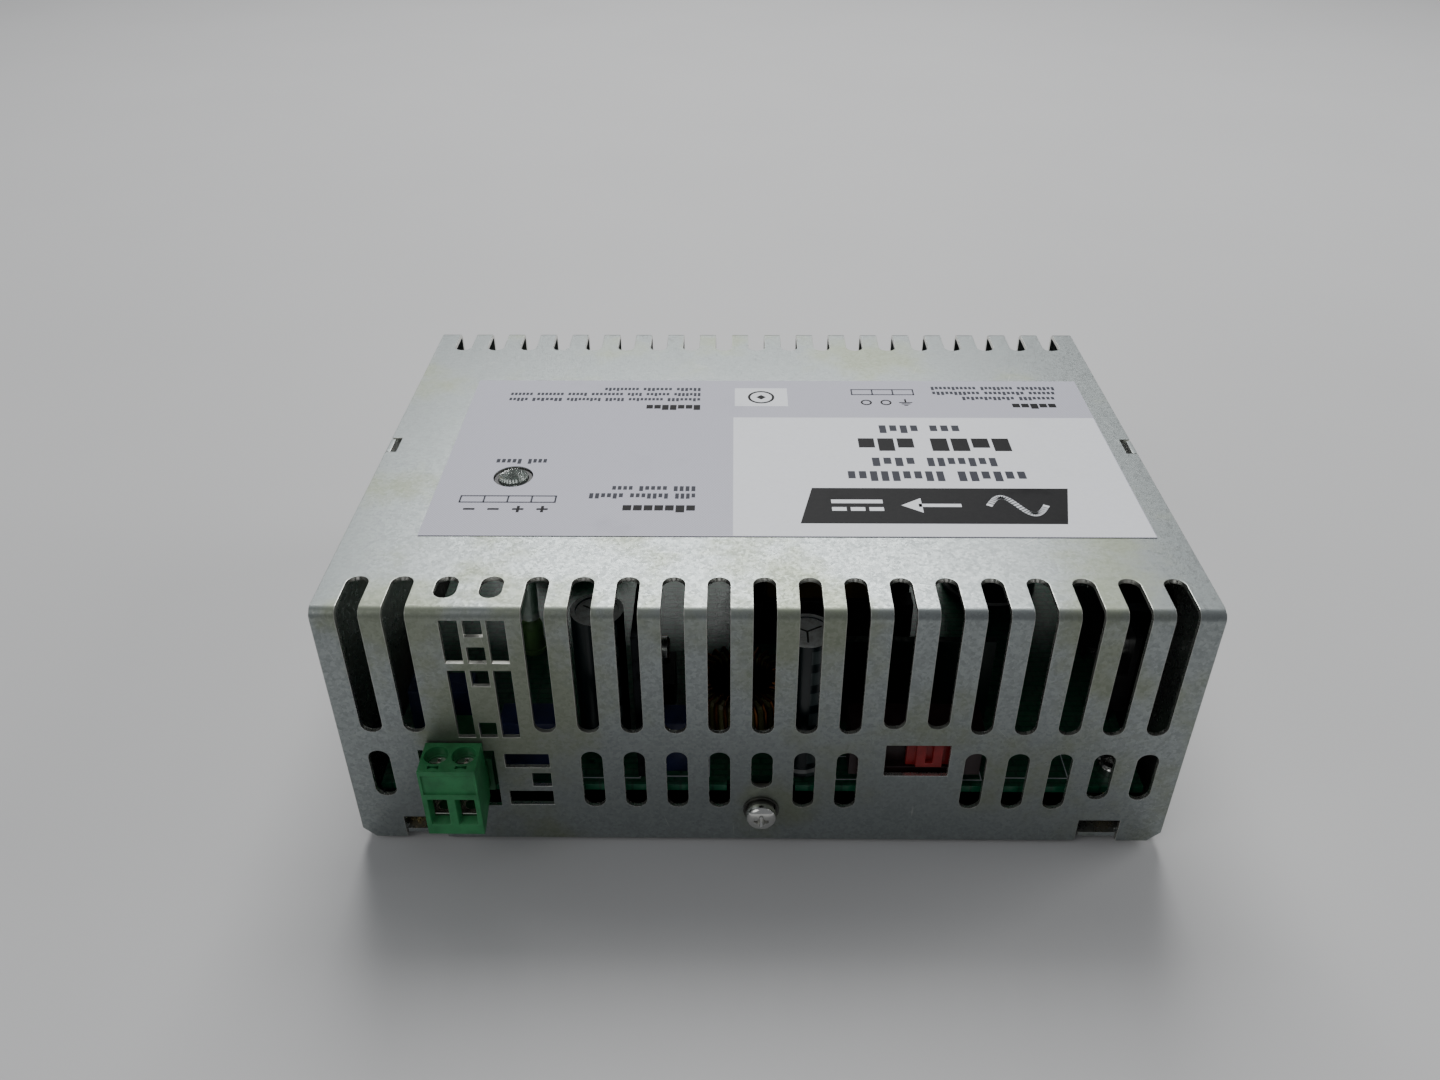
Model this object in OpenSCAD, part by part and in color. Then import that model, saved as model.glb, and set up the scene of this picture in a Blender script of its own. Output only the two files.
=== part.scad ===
// Switching power supply in a folded sheet-metal case, for a 35 mm DIN rail.
// The label faces up (+Z), the output side faces -Y, the input side +Y and
// the rail runs along X under the floor. The origin is the middle of the rail
// seat, on the outside face of the chassis floor.

/* [Enclosure] */
// Width of the case, along the rail
body_w = 157; // [150:1:200]
// Depth of the case, from the output side to the input side
body_d = 114; // [108:1:150]
// Height of the cover, from its top face to its lower edges
body_h = 56.65; // [55:0.05:75]
// Thickness of the sheet steel
sheet_t = 1; // [0.8:0.1:1.2]
// Outside radius of every bend
bend_r = 2; // [1.5:0.1:3]
// Distance that the cover's lower edges hang below the floor
skirt = 1.35; // [0.5:0.05:2]
// Cut on the cover's lower corners
corner_cut = 2.4; // [0.5:0.1:4]
// Gap between the cover's flanges and the chassis
case_gap = 0.1; // [0.05:0.05:0.3]

/* [Vents] */
// Distance between neighbouring slots
vent_pitch = 8; // [7:0.1:10]
// Width of each slot
vent_w = 4; // [2:0.1:5]
// Smallest distance from a slot's middle to the side of the cover
vent_edge = 6.4; // [4:0.1:10]
// Reach of the long slots onto the top face
vent_reach = 10.1; // [6:0.1:12]
// Lower end of the long slots, below the top face
vent_drop = 28.3; // [20:0.1:30]
// How much higher the long slots end over the selector window
vent_lift = 1.3; // [0:0.1:3]
// Upper end of the short slots, below the top face
short_top = 33.15; // [31:0.05:34]
// Lower end of the short slots, below the top face
short_bottom = 47.8; // [44:0.1:49]
// How much the short slots lose over the foot notches
short_trim = 2.7; // [0:0.1:4]
// How much the middle short slot loses over the cover screw
screw_trim = 5.3; // [4:0.1:7]

/* [Openings in the cover] */
// Height of the connector windows' upper edge above the board
window_top = 11.7; // [10:0.1:13]
// Depth of the connector windows' lower edge below the board's top
window_bottom = 3; // [2:0.1:4]
// Free space beside a header in its window
window_side = 1; // [0.5:0.1:2]
// Width of one bar opening of the grille above the output plug
grille_w = 3.2; // [2:0.1:3.5]
// Distance between the grille's columns
grille_pitch = 4.1; // [4:0.1:5]
// Width and height of the selector window
selector_window = [12, 7.85]; // [6:0.05:14]
// Height of the selector window's lower edge above the board
selector_lift = 5.7; // [5:0.05:9]
// Width and height of the foot notches
foot_notch = [8, 5.65]; // [4:0.05:10]
// Width of the chassis feet that sit in those notches
foot_w = 7.2; // [3:0.1:9]
// Distance from the side of the cover to the middle of a foot notch
foot_inset = 12.6; // [10:0.1:20]
// Width of the side tabs of the chassis
side_tab_w = 5.1; // [3:0.1:8]
// Size of the notches that hold the side tabs
side_notch = [2.2, 5.9]; // [1.5:0.1:8]
// Diameter of the hole for the status light
light_hole_d = 8; // [6:0.1:9]
// Distance of the status light from the left side and from the output side
light_inset = [28.5, 44]; // [20:0.5:60]

/* [Fasteners] */
// Nominal diameter of the machine screws
screw_d = 3; // [2.5:0.1:4]
// Diameter of a pan head
head_d = 5.8; // [5:0.1:7]
// Height of a pan head
head_h = 2.2; // [1.5:0.1:3]
// Radial clearance round a screw in its threaded hole
thread_gap = 0.05; // [0.02:0.01:0.1]
// Height of the cover screws above the floor's outside face
cover_screw_z = 7.1; // [6:0.1:8]
// Width of the screw lugs
lug_w = 12; // [8:0.5:13]
// Height of the screw lugs
lug_h = 12.1; // [11:0.1:14]

/* [Rail clip] */
// Width of the rail between its outer edges
rail_w = 35; // [35:0.1:35.5]
// Room between the floor and the clip lips for the rail's edge
rail_gap = 1.25; // [1.1:0.05:1.5]
// Thickness of the clip sheet
clip_t = 1; // [0.8:0.05:1.2]
// Overlap of the lips behind the rail's edge
lip_reach = 3.3; // [2:0.1:3.5]
// Width of each fixed hook
hook_w = 20; // [12:1:30]
// Distance from the middle of the case to each fixed hook
hook_x = 45; // [38:1:55]
// Width of the sliding latch
latch_w = 44; // [30:1:50]
// Travel of the latch when it is pulled open
latch_travel = 6; // [4:0.5:7]
// Width of the latch's pull tail
tail_w = 16; // [10:1:20]
// Length of the tail that shows past the input side
tail_out = 5; // [3:0.5:8]
// Outside diameter and wire diameter of the latch spring
spring_size = [3.6, 0.5]; // [0.3:0.1:4]
// Turns of the latch spring
spring_turns = 9; // [5:1:12]

/* [Circuit board] */
// Height of the board's standoffs
standoff_h = 8; // [6:0.5:9]
// Thickness of the board
board_t = 1.6; // [1.5:0.1:2]
// Distance from the case's outside faces to the board's edges
board_inset = [4.5, 2.9]; // [2:0.1:8]
// Inset of the board screws from the board's edges
board_screw_inset = 5; // [4:0.5:8]
// Width and depth of the board's notches at the screw lugs
board_notch = [13.2, 2.3]; // [2:0.1:15]

/* [Connectors] */
// Distance between neighbouring poles
pole = 5.08; // [5:0.01:5.2]
// Number of output poles
out_poles = 2; // [2:1:2]
// Number of input poles
in_poles = 3; // [3:1:3]
// Distance from the left side to the middle of the output connector
out_inset = 21.2; // [20:0.1:24]
// Distance from the right side to the middle of the input connector
in_inset = 50.5; // [45:0.1:60]
// Height of the headers
header_h = 8.4; // [8:0.1:9]
// Depth of the headers
header_d = 12; // [11:0.1:13]
// Wall of the headers
header_wall = 1; // [0.8:0.05:1.2]
// Distance that the plugs stand out of the case
plug_out = 7.8; // [7:0.1:9]
// Height of the plugs at the front
plug_h = 16.4; // [15:0.1:17]
// Height of the plugs' lower front edge above the board
plug_drop = -2.3; // [-3:0.1:-1]
// Clearance between a plug's nose and its header
plug_gap = 0.1; // [0.05:0.05:0.2]
// Diameter of the screw wells round the screw heads
well_d = 3.9; // [3.6:0.1:4]
// Diameter of the wells above the heads, where the screwdriver goes in
driver_d = 4.4; // [4.2:0.1:4.5]
// Width of the wire entries
entry_w = 3.6; // [3:0.1:3.8]
// Travel of a wire clamp between open and closed
clamp_travel = 2.5; // [2:0.1:3]

/* [Label] */
// Thickness of the label
label_t = 0.15; // [0.1:0.05:0.3]
// Distances from the case's left, right, output and input sides to the label
label_inset = [13.9, 5.3, 22.8, 27.2]; // [4:0.1:30]

/* [Selector] */
// Distance from the right side to the middle of the selector
selector_inset = 49.5; // [45:0.1:60]
// Width, depth and height of the selector's body
selector_body = [25, 8, 11]; // [7:0.1:28]
// Width of the selector's knob
knob_w = 5; // [3:0.1:6]
// Travel of the knob between its two places
knob_travel = 5; // [3:0.1:5.5]

/* [Hidden] */
out_screws = [for (i = [1 : out_poles]) str("output_clamp_screw_", i)];
out_cages = [for (i = [1 : out_poles]) str("output_clamp_cage_", i)];
in_screws = [for (i = [1 : in_poles]) str("input_clamp_screw_", i)];
in_cages = [for (i = [1 : in_poles]) str("input_clamp_cage_", i)];

$fn = 48;
eps = 0.01;
top_z = body_h - skirt;
near_y = -body_d / 2;
far_y = body_d / 2;
half_w = body_w / 2;
inner_y = body_d / 2 - sheet_t - case_gap;
side_in = half_w - sheet_t;
ceiling_z = top_z - sheet_t;
board_z = sheet_t + standoff_h;
board_top = board_z + board_t;
board_x = half_w - board_inset[0];
board_y = body_d / 2 - board_inset[1];
out_x = out_inset - half_w;
in_x = half_w - in_inset;
selector_x = half_w - selector_inset;
light_x = light_inset[0] - half_w;
light_y = near_y + light_inset[1];
vent_n = 2 * floor((half_w - vent_edge) / vent_pitch) + 1;
foot_x = half_w - foot_inset;
mid_standoffs = [[-12, -20], [-20, 18]];

// Connector sizes
header_gap = 0.2;
header_y = sheet_t + header_gap;
function header_w(n) = n * pole + 2 * header_wall + 0.04;
function pole_x(n, i) = (i - (n + 1) / 2) * pole;
pin_w = 1;
pin_back = header_y + header_d + 1.4;
output_pins = [for (i = [1 : out_poles]) [out_x + pole_x(out_poles, i), near_y + pin_back - pin_w / 2]];
input_pins = [for (i = [1 : in_poles]) [in_x + pole_x(in_poles, i), far_y - pin_back + pin_w / 2]];
window_w_out = header_w(out_poles) + 2 * window_side;
window_w_in = header_w(in_poles) + 2 * window_side;

// Grille and knock-outs beside the output connector
grille_x = out_x + 6.75;
grille_rows = [[2, 11.7], [13.4, 29.6]];
knockout_x = out_x + 17.3;
terminal_x = out_x + 5.3;

// Rail clip
clip_z = -rail_gap - clip_t;
rail_y = rail_w / 2;
clip_play = 0.2;
latch_rest = rail_y + clip_play;
latch_top = -0.15;
latch_low = latch_top - clip_t;
latch_len = body_d / 2 + tail_out - latch_rest;
spring_y = [22.5, 38.5];
spring_z = -0.3;
spring_r = (spring_size[0] - spring_size[1]) / 2;
stop_x = 13;
stop_y = 36;
stop_r = 1.5;
stop_play = 0.05;
rivet_r = 1.2;
rivet_head = [2.2, 0.9];
guide_y = [latch_rest + clip_t + latch_travel + clip_play, 40];
guide_lap = 3.3;
guide_flat = 9;

// Parts on the board and the leads that go through it
lead_r = 0.4;
thick_lead_r = 0.5;
flat_lead_r = 0.5;
lead_gap = 0.15;
lead_out = 1.5;
small_pitch = 2.54;
fuse_x = 2;
fuse_y = far_y - 21;
fuse_z = board_top + 5.5;
thermistor_leads = [for (s = [-1, 1]) [fuse_x + s * 3.5, fuse_y - 10]];
choke_place = [-45, far_y - 22];
choke_r = [8, 14];
choke_h = 11;
choke_lift = 3.5;
choke_leads = [for (a = [40, 140, 220, 320]) choke_place + 11 * [cos(a), sin(a)]];
y_cap_x = [-63, -70.5];
y_cap_y = far_y - 22;
y_cap_leads = [for (x = y_cap_x, s = [-1, 1]) [x, y_cap_y + s * small_pitch]];
bridge_place = [in_x + 22, far_y - 8];
bridge_leads = [for (i = [-1.5 : 1 : 1.5]) bridge_place + [i * 5.5, 0]];
room_h = top_z - sheet_t - board_top;
bulk_d = 22;
bulk_h = room_h - 5.7;
bulk_places = [for (y = [24, -1]) [half_w - 23, y]];
bulk_leads = [for (p = bulk_places, s = [-1, 1]) p + [s * bulk_d / 4, 0]];
cap_d = 10;
cap_h = room_h - 10.7;
cap_places = [[out_x + 26.3, near_y + 9.2], [8, near_y + 9.2], [out_x + 26.3, near_y + 21]];
output_cap_leads = [for (p = cap_places, s = [-1, 1]) p + [s * cap_d / 4, 0]];
inductor_place = [-4, near_y + 20.5];
inductor_leads = [for (s = [-1, 1]) inductor_place + [s * 8, 0]];
heat_sink_t = 3;
sink_h = 32;
sink_z = board_top + 2;
sink_y = [-40, 12];
transistor_y = [-32, -12];
second_x = -22.8;
second_h = room_h - 8.7;
second_y = [near_y + 4, near_y + 38];
sink_tab_y = [second_y[0] + 10, second_y[1] - 4];
diode_y = near_y + 22;
package_leads = concat(
    [for (y = transistor_y, i = [-1 : 1]) [side_in - heat_sink_t - 2.5, y + i * small_pitch]],
    [for (i = [-1 : 1]) [second_x + 3.5, diode_y + i * small_pitch]]);
control_x = selector_x - 13;
control_y = near_y + 20;
control_pins = [for (i = [0 : 9]) [control_x + 3.3 + i * small_pitch, control_y + 0.8]];

function vent_x(i) = (i - (vent_n - 1) / 2) * vent_pitch;
function near_to(x, centre, half) = abs(x - centre) < half;

// ---------------------------------------------------------------- helpers

// Flat shape with x along X and y along Z, extruded along +Y from y0
module wall(y0, depth) {
    translate([0, y0 + depth, 0])
        rotate([90, 0, 0])
            linear_extrude(depth)
                children();
}

// Flat shape with x along Y and y along Z, extruded along +X from x0
module rib(x0, width) {
    translate([x0, 0, 0])
        rotate([90, 0, 90])
            linear_extrude(width)
                children();
}

module slot_2d(x, y0, y1, w) {
    translate([x, y0 + w / 2])
        circle(d = w);
    translate([x - w / 2, y0 + w / 2])
        square([w, y1 - y0 - w]);
    translate([x, y1 - w / 2])
        circle(d = w);
}

module round_top_2d(x0, x1, y0, y1, r) {
    translate([x0, y0])
        square([x1 - x0, y1 - y0 - r]);
    translate([x0 + r, y0])
        square([x1 - x0 - 2 * r, y1 - y0]);
    for (x = [x0 + r, x1 - r])
        translate([x, y1 - r])
            circle(r);
}

module box(x0, x1, y0, y1, z0, z1) {
    translate([x0, y0, z0])
        cube([x1 - x0, y1 - y0, z1 - z0]);
}

module mirror_copy(v) {
    children();
    mirror(v)
        children();
}

// Puts a connector's own frame at the outside face of a side of the case:
// +Y points into the case and z = 0 is the board's top face.
module at_output() {
    translate([out_x, near_y, board_top])
        children();
}

module at_input() {
    translate([in_x, far_y, board_top])
        rotate([0, 0, 180])
            children();
}

module at_light() {
    translate([light_x, light_y, 0])
        children();
}

// Pan-head machine screw, head at z = 0 to head_h and shank below it
module pan_screw(length) {
    dome = 0.5;
    difference() {
        union() {
            translate([0, 0, -length])
                cylinder(d = screw_d - 2 * thread_gap, h = length);
            cylinder(d = head_d, h = head_h - dome);
            translate([0, 0, head_h - dome])
                cylinder(d1 = head_d, d2 = head_d - 2.4 * dome, h = dome);
        }
        for (a = [0, 90])
            rotate([0, 0, a])
                translate([-head_d * 0.27, -0.4, head_h - 1.3])
                    cube([head_d * 0.54, 0.8, 2]);
        translate([0, 0, head_h - 1.6])
            cylinder(d1 = 1, d2 = 2, h = 1.61);
    }
}

// ------------------------------------------------------------------- case

// blocked: [x, half width] of each stretch without lower slots
module side_slots_2d(output_side, blocked) {
    for (i = [0 : vent_n - 1]) {
        x = vent_x(i);
        lift = output_side && near_to(x, selector_x, vent_pitch) ? vent_lift : 0;
        if (!(output_side && near_to(x, grille_x, 2 * grille_pitch)))
            slot_2d(x, top_z - vent_drop + lift, top_z + 2 * vent_w, vent_w);
        over_foot = output_side && near_to(abs(x), foot_x, vent_pitch - 0.5);
        low = short_bottom - (over_foot ? short_trim : 0) - (x == 0 ? screw_trim : 0);
        hits = [for (b = blocked) if (near_to(x, b[0], b[1])) b];
        if (len(hits) == 0)
            slot_2d(x, top_z - low, top_z - short_top, vent_w);
    }
}

module grille_2d() {
    square_h = 3.7;
    for (row = grille_rows) {
        for (s = [-1, 1])
            translate([grille_x + s * grille_pitch - grille_w / 2, top_z - row[1]])
                square([grille_w, row[1] - row[0]]);
        for (z = [row[0], row[1] - square_h])
            translate([grille_x - grille_w / 2, top_z - z - square_h])
                square([grille_w, square_h]);
    }
}

module knockouts_2d() {
    bar = [8.35, 3.5];
    translate([knockout_x - bar[0], top_z - 33.85 - bar[1]])
        square(bar);
    translate([knockout_x - 3.6, top_z - 38.85 - bar[1]])
        square([3.6, bar[1]]);
    translate([knockout_x - bar[0], top_z - 43.85 - bar[1]])
        square([bar[0], bar[1] + 0.2]);
}

module window_2d(x, w) {
    translate([x - w / 2, board_top - window_bottom])
        square([w, window_bottom + window_top]);
}

module foot_notches_2d() {
    for (s = [-1, 1])
        translate([s * foot_x - foot_notch[0] / 2, -skirt - 1])
            square([foot_notch[0], foot_notch[1] + 1]);
}

module corner_cuts_2d() {
    mirror_copy([1, 0, 0])
        polygon([[half_w + 1, -skirt - 1], [half_w - corner_cut - 1, -skirt - 1],
                 [half_w + 1, -skirt + corner_cut + 1]]);
}

module near_panel_cuts_2d() {
    side_slots_2d(true, [[terminal_x, 13], [selector_x, vent_pitch]]);
    grille_2d();
    knockouts_2d();
    window_2d(out_x, window_w_out);
    translate([selector_x - selector_window[0] / 2, board_top + selector_lift])
        square(selector_window);
    foot_notches_2d();
    corner_cuts_2d();
    translate([0, cover_screw_z])
        circle(d = screw_d + 0.4);
}

module far_panel_cuts_2d() {
    side_slots_2d(false, [[in_x, (window_w_in + vent_w) / 2 + 1]]);
    window_2d(in_x, window_w_in);
    foot_notches_2d();
    corner_cuts_2d();
    translate([0, cover_screw_z])
        circle(d = screw_d + 0.4);
    translate([-tail_w / 2 - 1, -skirt - 1])
        square([tail_w + 2, skirt + 1.3]);
}

module top_cuts_2d() {
    for (i = [0 : vent_n - 1]) {
        x = vent_x(i);
        oval = near_to(x, grille_x, 2 * grille_pitch);
        slot_2d(x, near_y + (oval ? 3.95 : -vent_w), near_y + vent_reach, vent_w);
        slot_2d(x, far_y - vent_reach - 0.4, far_y + vent_w, vent_w);
    }
    for (s = [-1, 1])
        translate([s * half_w - side_notch[0], -side_notch[1] / 2])
            square([2 * side_notch[0], side_notch[1]]);
    translate([light_x, light_y])
        circle(d = light_hole_d);
}

module cover() {
    cut = bend_r + 0.6;
    color("lightgray")
        difference() {
            rib(-half_w, body_w)
                difference() {
                    round_top_2d(near_y, far_y, -skirt, top_z, bend_r);
                    round_top_2d(near_y + sheet_t, far_y - sheet_t, -skirt - 1, ceiling_z, bend_r - sheet_t);
                }
            wall(near_y - 1, cut + 1)
                near_panel_cuts_2d();
            wall(far_y - cut, cut + 1)
                far_panel_cuts_2d();
            translate([0, 0, top_z - cut])
                linear_extrude(cut + 1)
                    top_cuts_2d();
        }
}

module lug(y_sign) {
    boss_h = 1.2;
    translate([0, y_sign * inner_y, 0])
        mirror([0, y_sign > 0 ? 1 : 0, 0]) {
            box(-lug_w / 2, lug_w / 2, 0, sheet_t, 0, lug_h);
            translate([0, sheet_t - eps, cover_screw_z])
                rotate([-90, 0, 0])
                    cylinder(d = screw_d + 1.6, h = boss_h);
        }
}

module standoff_places() {
    for (x = [-1, 1], y = [-1, 1])
        translate([x * (board_x - board_screw_inset), y * (board_y - board_screw_inset), 0])
            children();
    for (p = mid_standoffs)
        translate([p[0], p[1], 0])
            children();
}

module hook_rivet_places() {
    for (s = [-1, 1], t = [-1, 1])
        translate([s * hook_x + t * hook_w / 4, -rail_y - clip_play - clip_t - 6, 0])
            children();
    for (s = [-1, 1], y = guide_y)
        translate([s * (latch_w / 2 + clip_play + clip_t + guide_flat / 2),
                   y + (y == guide_y[0] ? 4 : -4), 0])
            children();
}

module heat_sink_screw_places() {
    for (y = [-22, -2])
        translate([side_in, y, board_top + 26])
            children();
}

module chassis() {
    color("silver")
        difference() {
            union() {
                wall(-inner_y, 2 * inner_y)
                    difference() {
                        mirror([0, 1])
                            round_top_2d(-half_w, half_w, -(ceiling_z - case_gap), 0, bend_r);
                        mirror([0, 1])
                            round_top_2d(-side_in, side_in, -top_z - 1, -sheet_t, bend_r - sheet_t);
                    }
                for (s = [-1, 1]) {
                    lug(s);
                    box(s > 0 ? side_in : -half_w, s > 0 ? half_w : -side_in,
                        -side_tab_w / 2 - 0.25, side_tab_w / 2 - 0.25, ceiling_z - 1, top_z);
                    for (y = [-1, 1])
                        box(s * foot_x - foot_w / 2, s * foot_x + foot_w / 2,
                            y > 0 ? inner_y - 1 : near_y, y > 0 ? far_y : -inner_y + 1, 0, sheet_t);
                }
            }
            for (s = [-1, 1])
                translate([0, s * (inner_y - 3), cover_screw_z])
                    rotate([90, 0, 0])
                        cylinder(d = screw_d, h = 10, center = true);
            hook_rivet_places()
                cylinder(r = rivet_r + thread_gap, h = 3, center = true);
            for (s = [-1, 1])
                translate([s * stop_x, stop_y, 0])
                    cylinder(r = rivet_r + thread_gap, h = 3, center = true);
            standoff_places()
                cylinder(d = 4.1, h = 3, center = true);
            box(-3.2, 3.2, spring_y[0] - 0.2, spring_y[1], -1, sheet_t + 1);
            heat_sink_screw_places()
                rotate([0, 90, 0]) {
                    cylinder(d = screw_d + 0.3, h = 4, center = true);
                    translate([0, 0, sheet_t - 0.9])
                        cylinder(d1 = screw_d + 0.3, d2 = 5.4, h = 0.91);
                }
            mirror_copy([0, 1, 0])
                rib(-half_w - 1, body_w + 2)
                    polygon([[inner_y - bend_r, ceiling_z], [inner_y + 1, ceiling_z],
                             [inner_y + 1, ceiling_z - bend_r - 1]]);
        }
}

module at_cover_screws() {
    for (s = [0, 1])
        mirror([0, s, 0])
            translate([0, near_y, cover_screw_z])
                rotate([90, 0, 0])
                    children();
}

module cover_plain_washers() {
    color("gainsboro")
        at_cover_screws()
            difference() {
                cylinder(d = 6.9, h = 0.5);
                translate([0, 0, -1])
                    cylinder(d = 3.3, h = 3);
            }
}

module cover_lock_washers() {
    color("gray")
        at_cover_screws()
            translate([0, 0, 0.5])
                difference() {
                    cylinder(d = 6, h = 0.8);
                    translate([0, 0, -1])
                        cylinder(d = 3.2, h = 3);
                    rotate([0, 0, 30])
                        translate([1, -0.25, -1])
                            cube([4, 0.5, 3]);
                }
}

module cover_screws() {
    color("gainsboro")
        at_cover_screws()
            translate([0, 0, 1.3])
                pan_screw(6);
}

module rating_label() {
    color("white")
        translate([0, 0, top_z])
            linear_extrude(label_t)
                difference() {
                    translate([-half_w + label_inset[0], near_y + label_inset[2]])
                        square([body_w - label_inset[0] - label_inset[1],
                                body_d - label_inset[2] - label_inset[3]]);
                    translate([light_x, light_y])
                        circle(d = light_hole_d);
                }
}

// ----------------------------------------------------------- status light

module light_pipe_ring() {
    color("black")
        at_light()
            difference() {
                union() {
                    translate([0, 0, ceiling_z - 1.5])
                        cylinder(d = light_hole_d - 0.2, h = sheet_t + 1.2);
                    translate([0, 0, ceiling_z - 1.5])
                        cylinder(d = light_hole_d + 2.5, h = 1.4);
                }
                translate([0, 0, ceiling_z - 5])
                    cylinder(d = 6, h = 10);
            }
}

module light_pipe() {
    lens_d = 5.9;
    rod_d = 4;
    rod_z = board_top + 9;
    ring_step = 0.28;
    color("honeydew")
        at_light() {
            translate([0, 0, rod_z])
                cylinder(d = rod_d, h = top_z - 3 - rod_z);
            translate([0, 0, top_z - 3])
                cylinder(d = lens_d, h = 3.2);
            for (k = [0 : 3])
                translate([0, 0, top_z + 0.2 + k * ring_step - eps])
                    cylinder(d = lens_d - 0.6 - 1.3 * k, h = ring_step + eps);
        }
}

module status_led() {
    color("lightgreen")
        at_light() {
            translate([0, 0, board_top]) {
                cylinder(d = 5.8, h = 1);
                cylinder(d = 5, h = 6.1);
                translate([0, 0, 6.1])
                    sphere(d = 5);
            }
        }
}

// -------------------------------------------------------------- rail clip

// Z-shaped sheet strip: flat under the floor, web beside the edge it holds,
// lip under that edge. x runs from the web towards the lip.
module clip_profile_2d(flat, reach) {
    polygon([[-flat, 0], [0, 0], [0, -rail_gap], [reach - 0.5, -rail_gap], [reach, -rail_gap - 0.4],
             [reach, clip_z], [-clip_t, clip_z], [-clip_t, -clip_t], [-flat, -clip_t]]);
}

module rail_hook(side) {
    color("silver")
        difference() {
            translate([0, -latch_rest, 0])
                rib(side * hook_x - hook_w / 2, hook_w)
                    clip_profile_2d(12, clip_play + lip_reach);
            hook_rivet_places()
                cylinder(r = rivet_r + thread_gap, h = 5, center = true);
        }
}

module rail_hook_left() {
    rail_hook(-1);
}

module rail_hook_right() {
    rail_hook(1);
}

module latch_guides() {
    edge = latch_w / 2 + clip_play;
    color("silver")
        difference() {
            mirror_copy([1, 0, 0])
                translate([edge, guide_y[0], 0])
                    mirror([1, 0, 0])
                        wall(0, guide_y[1] - guide_y[0])
                            clip_profile_2d(clip_t + guide_flat, guide_lap);
            hook_rivet_places()
                cylinder(r = rivet_r + thread_gap, h = 5, center = true);
        }
}

module latch_outline_2d() {
    shoulder_y = latch_rest + 27;
    difference() {
        union() {
            translate([-latch_w / 2, latch_rest])
                square([latch_w, shoulder_y - latch_rest]);
            translate([-tail_w / 2, latch_rest])
                square([tail_w, latch_len]);
        }
        translate([-3.2, spring_y[0]])
            square([6.4, spring_y[1] - spring_y[0] + 0.6]);
        for (s = [-1, 1])
            slot_2d(s * stop_x, stop_y - latch_travel - stop_r - stop_play,
                    stop_y + stop_r + stop_play, 2 * (stop_r + stop_play));
        translate([-3, latch_rest + latch_len - 3.6])
            square([6, 1.8]);
    }
}

module rail_latch() {
    color("gainsboro") {
        translate([0, 0, latch_low])
            linear_extrude(clip_t)
                latch_outline_2d();
        rib(-latch_w / 2, latch_w)
            polygon([[latch_rest + clip_t, latch_low + eps], [latch_rest, latch_low + eps],
                     [latch_rest, -rail_gap], [latch_rest - lip_reach + 0.7, -rail_gap],
                     [latch_rest - lip_reach - 0.3, -rail_gap - 0.5],
                     [latch_rest - lip_reach - 0.3, clip_z], [latch_rest + clip_t, clip_z]]);
    }
}

// A round wire along a helix, as rings of points joined into one closed tube
module coil(length, radius, wire, turns, steps, sides) {
    n = turns * steps;
    points = [for (i = [0 : n], k = [0 : sides - 1])
        let (a = 360 * i / steps, b = 360 * k / sides, r = radius + wire / 2 * cos(b))
        [r * cos(a), r * sin(a), wire / 2 + (length - wire) * i / n + wire / 2 * sin(b)]];
    skins = [for (i = [0 : n - 1], k = [0 : sides - 1])
        let (k2 = (k + 1) % sides)
        [i * sides + k, i * sides + k2, (i + 1) * sides + k2, (i + 1) * sides + k]];
    ends = [[for (k = [sides - 1 : -1 : 0]) k], [for (k = [0 : sides - 1]) n * sides + k]];
    polyhedron(points, concat(skins, ends), convexity = 10);
}

module latch_spring() {
    color("dimgray")
        translate([0, spring_y[0], spring_z])
            rotate([-90, 0, 0])
                coil(spring_y[1] - spring_y[0], spring_r, spring_size[1], spring_turns, 14, 6);
}

module clip_rivet(grip, stack) {
    translate([0, 0, -stack - rivet_head[1]])
        cylinder(r = rivet_head[0], h = rivet_head[1]);
    translate([0, 0, -stack - eps])
        cylinder(r = rivet_r, h = grip + 2 * eps);
    translate([0, 0, sheet_t])
        cylinder(r = rivet_head[0] - 0.3, h = 0.7);
}

module clip_rivets() {
    color("lightgray") {
        hook_rivet_places()
            clip_rivet(clip_t + sheet_t, clip_t);
        for (s = [-1, 1])
            translate([s * stop_x, stop_y, 0]) {
                clip_rivet(rail_gap + sheet_t, rail_gap);
                translate([0, 0, -rail_gap - eps])
                    cylinder(r = stop_r, h = rail_gap - 0.02);
            }
    }
}

// ------------------------------------------------------------ board

module insulation_sheet() {
    color("lightyellow")
        translate([0, 0, sheet_t])
            linear_extrude(0.3)
                difference() {
                    square([2 * board_x - 2, 2 * board_y - 5], center = true);
                    standoff_places()
                        circle(d = 7.4);
                    hook_rivet_places()
                        circle(r = rivet_head[0] + 0.3);
                    for (s = [-1, 1])
                        translate([s * stop_x, stop_y])
                            circle(r = rivet_head[0] + 0.3);
                    translate([-3.8, spring_y[0] - 1])
                        square([7.6, spring_y[1] - spring_y[0] + 2]);
                }
}

module board_outline_2d() {
    r = 1.5;
    difference() {
        square([2 * board_x, 2 * board_y], center = true);
        for (s = [-1, 1]) {
            translate([0, s * board_y])
                square([board_notch[0], 2 * (board_notch[1] - r)], center = true);
            translate([0, s * board_y])
                square([board_notch[0] - 2 * r, 2 * board_notch[1]], center = true);
            for (t = [-1, 1])
                translate([t * (board_notch[0] / 2 - r), s * (board_y - board_notch[1] + r)])
                    circle(r);
        }
        standoff_places()
            circle(d = screw_d + 0.3);
    }
}

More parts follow.
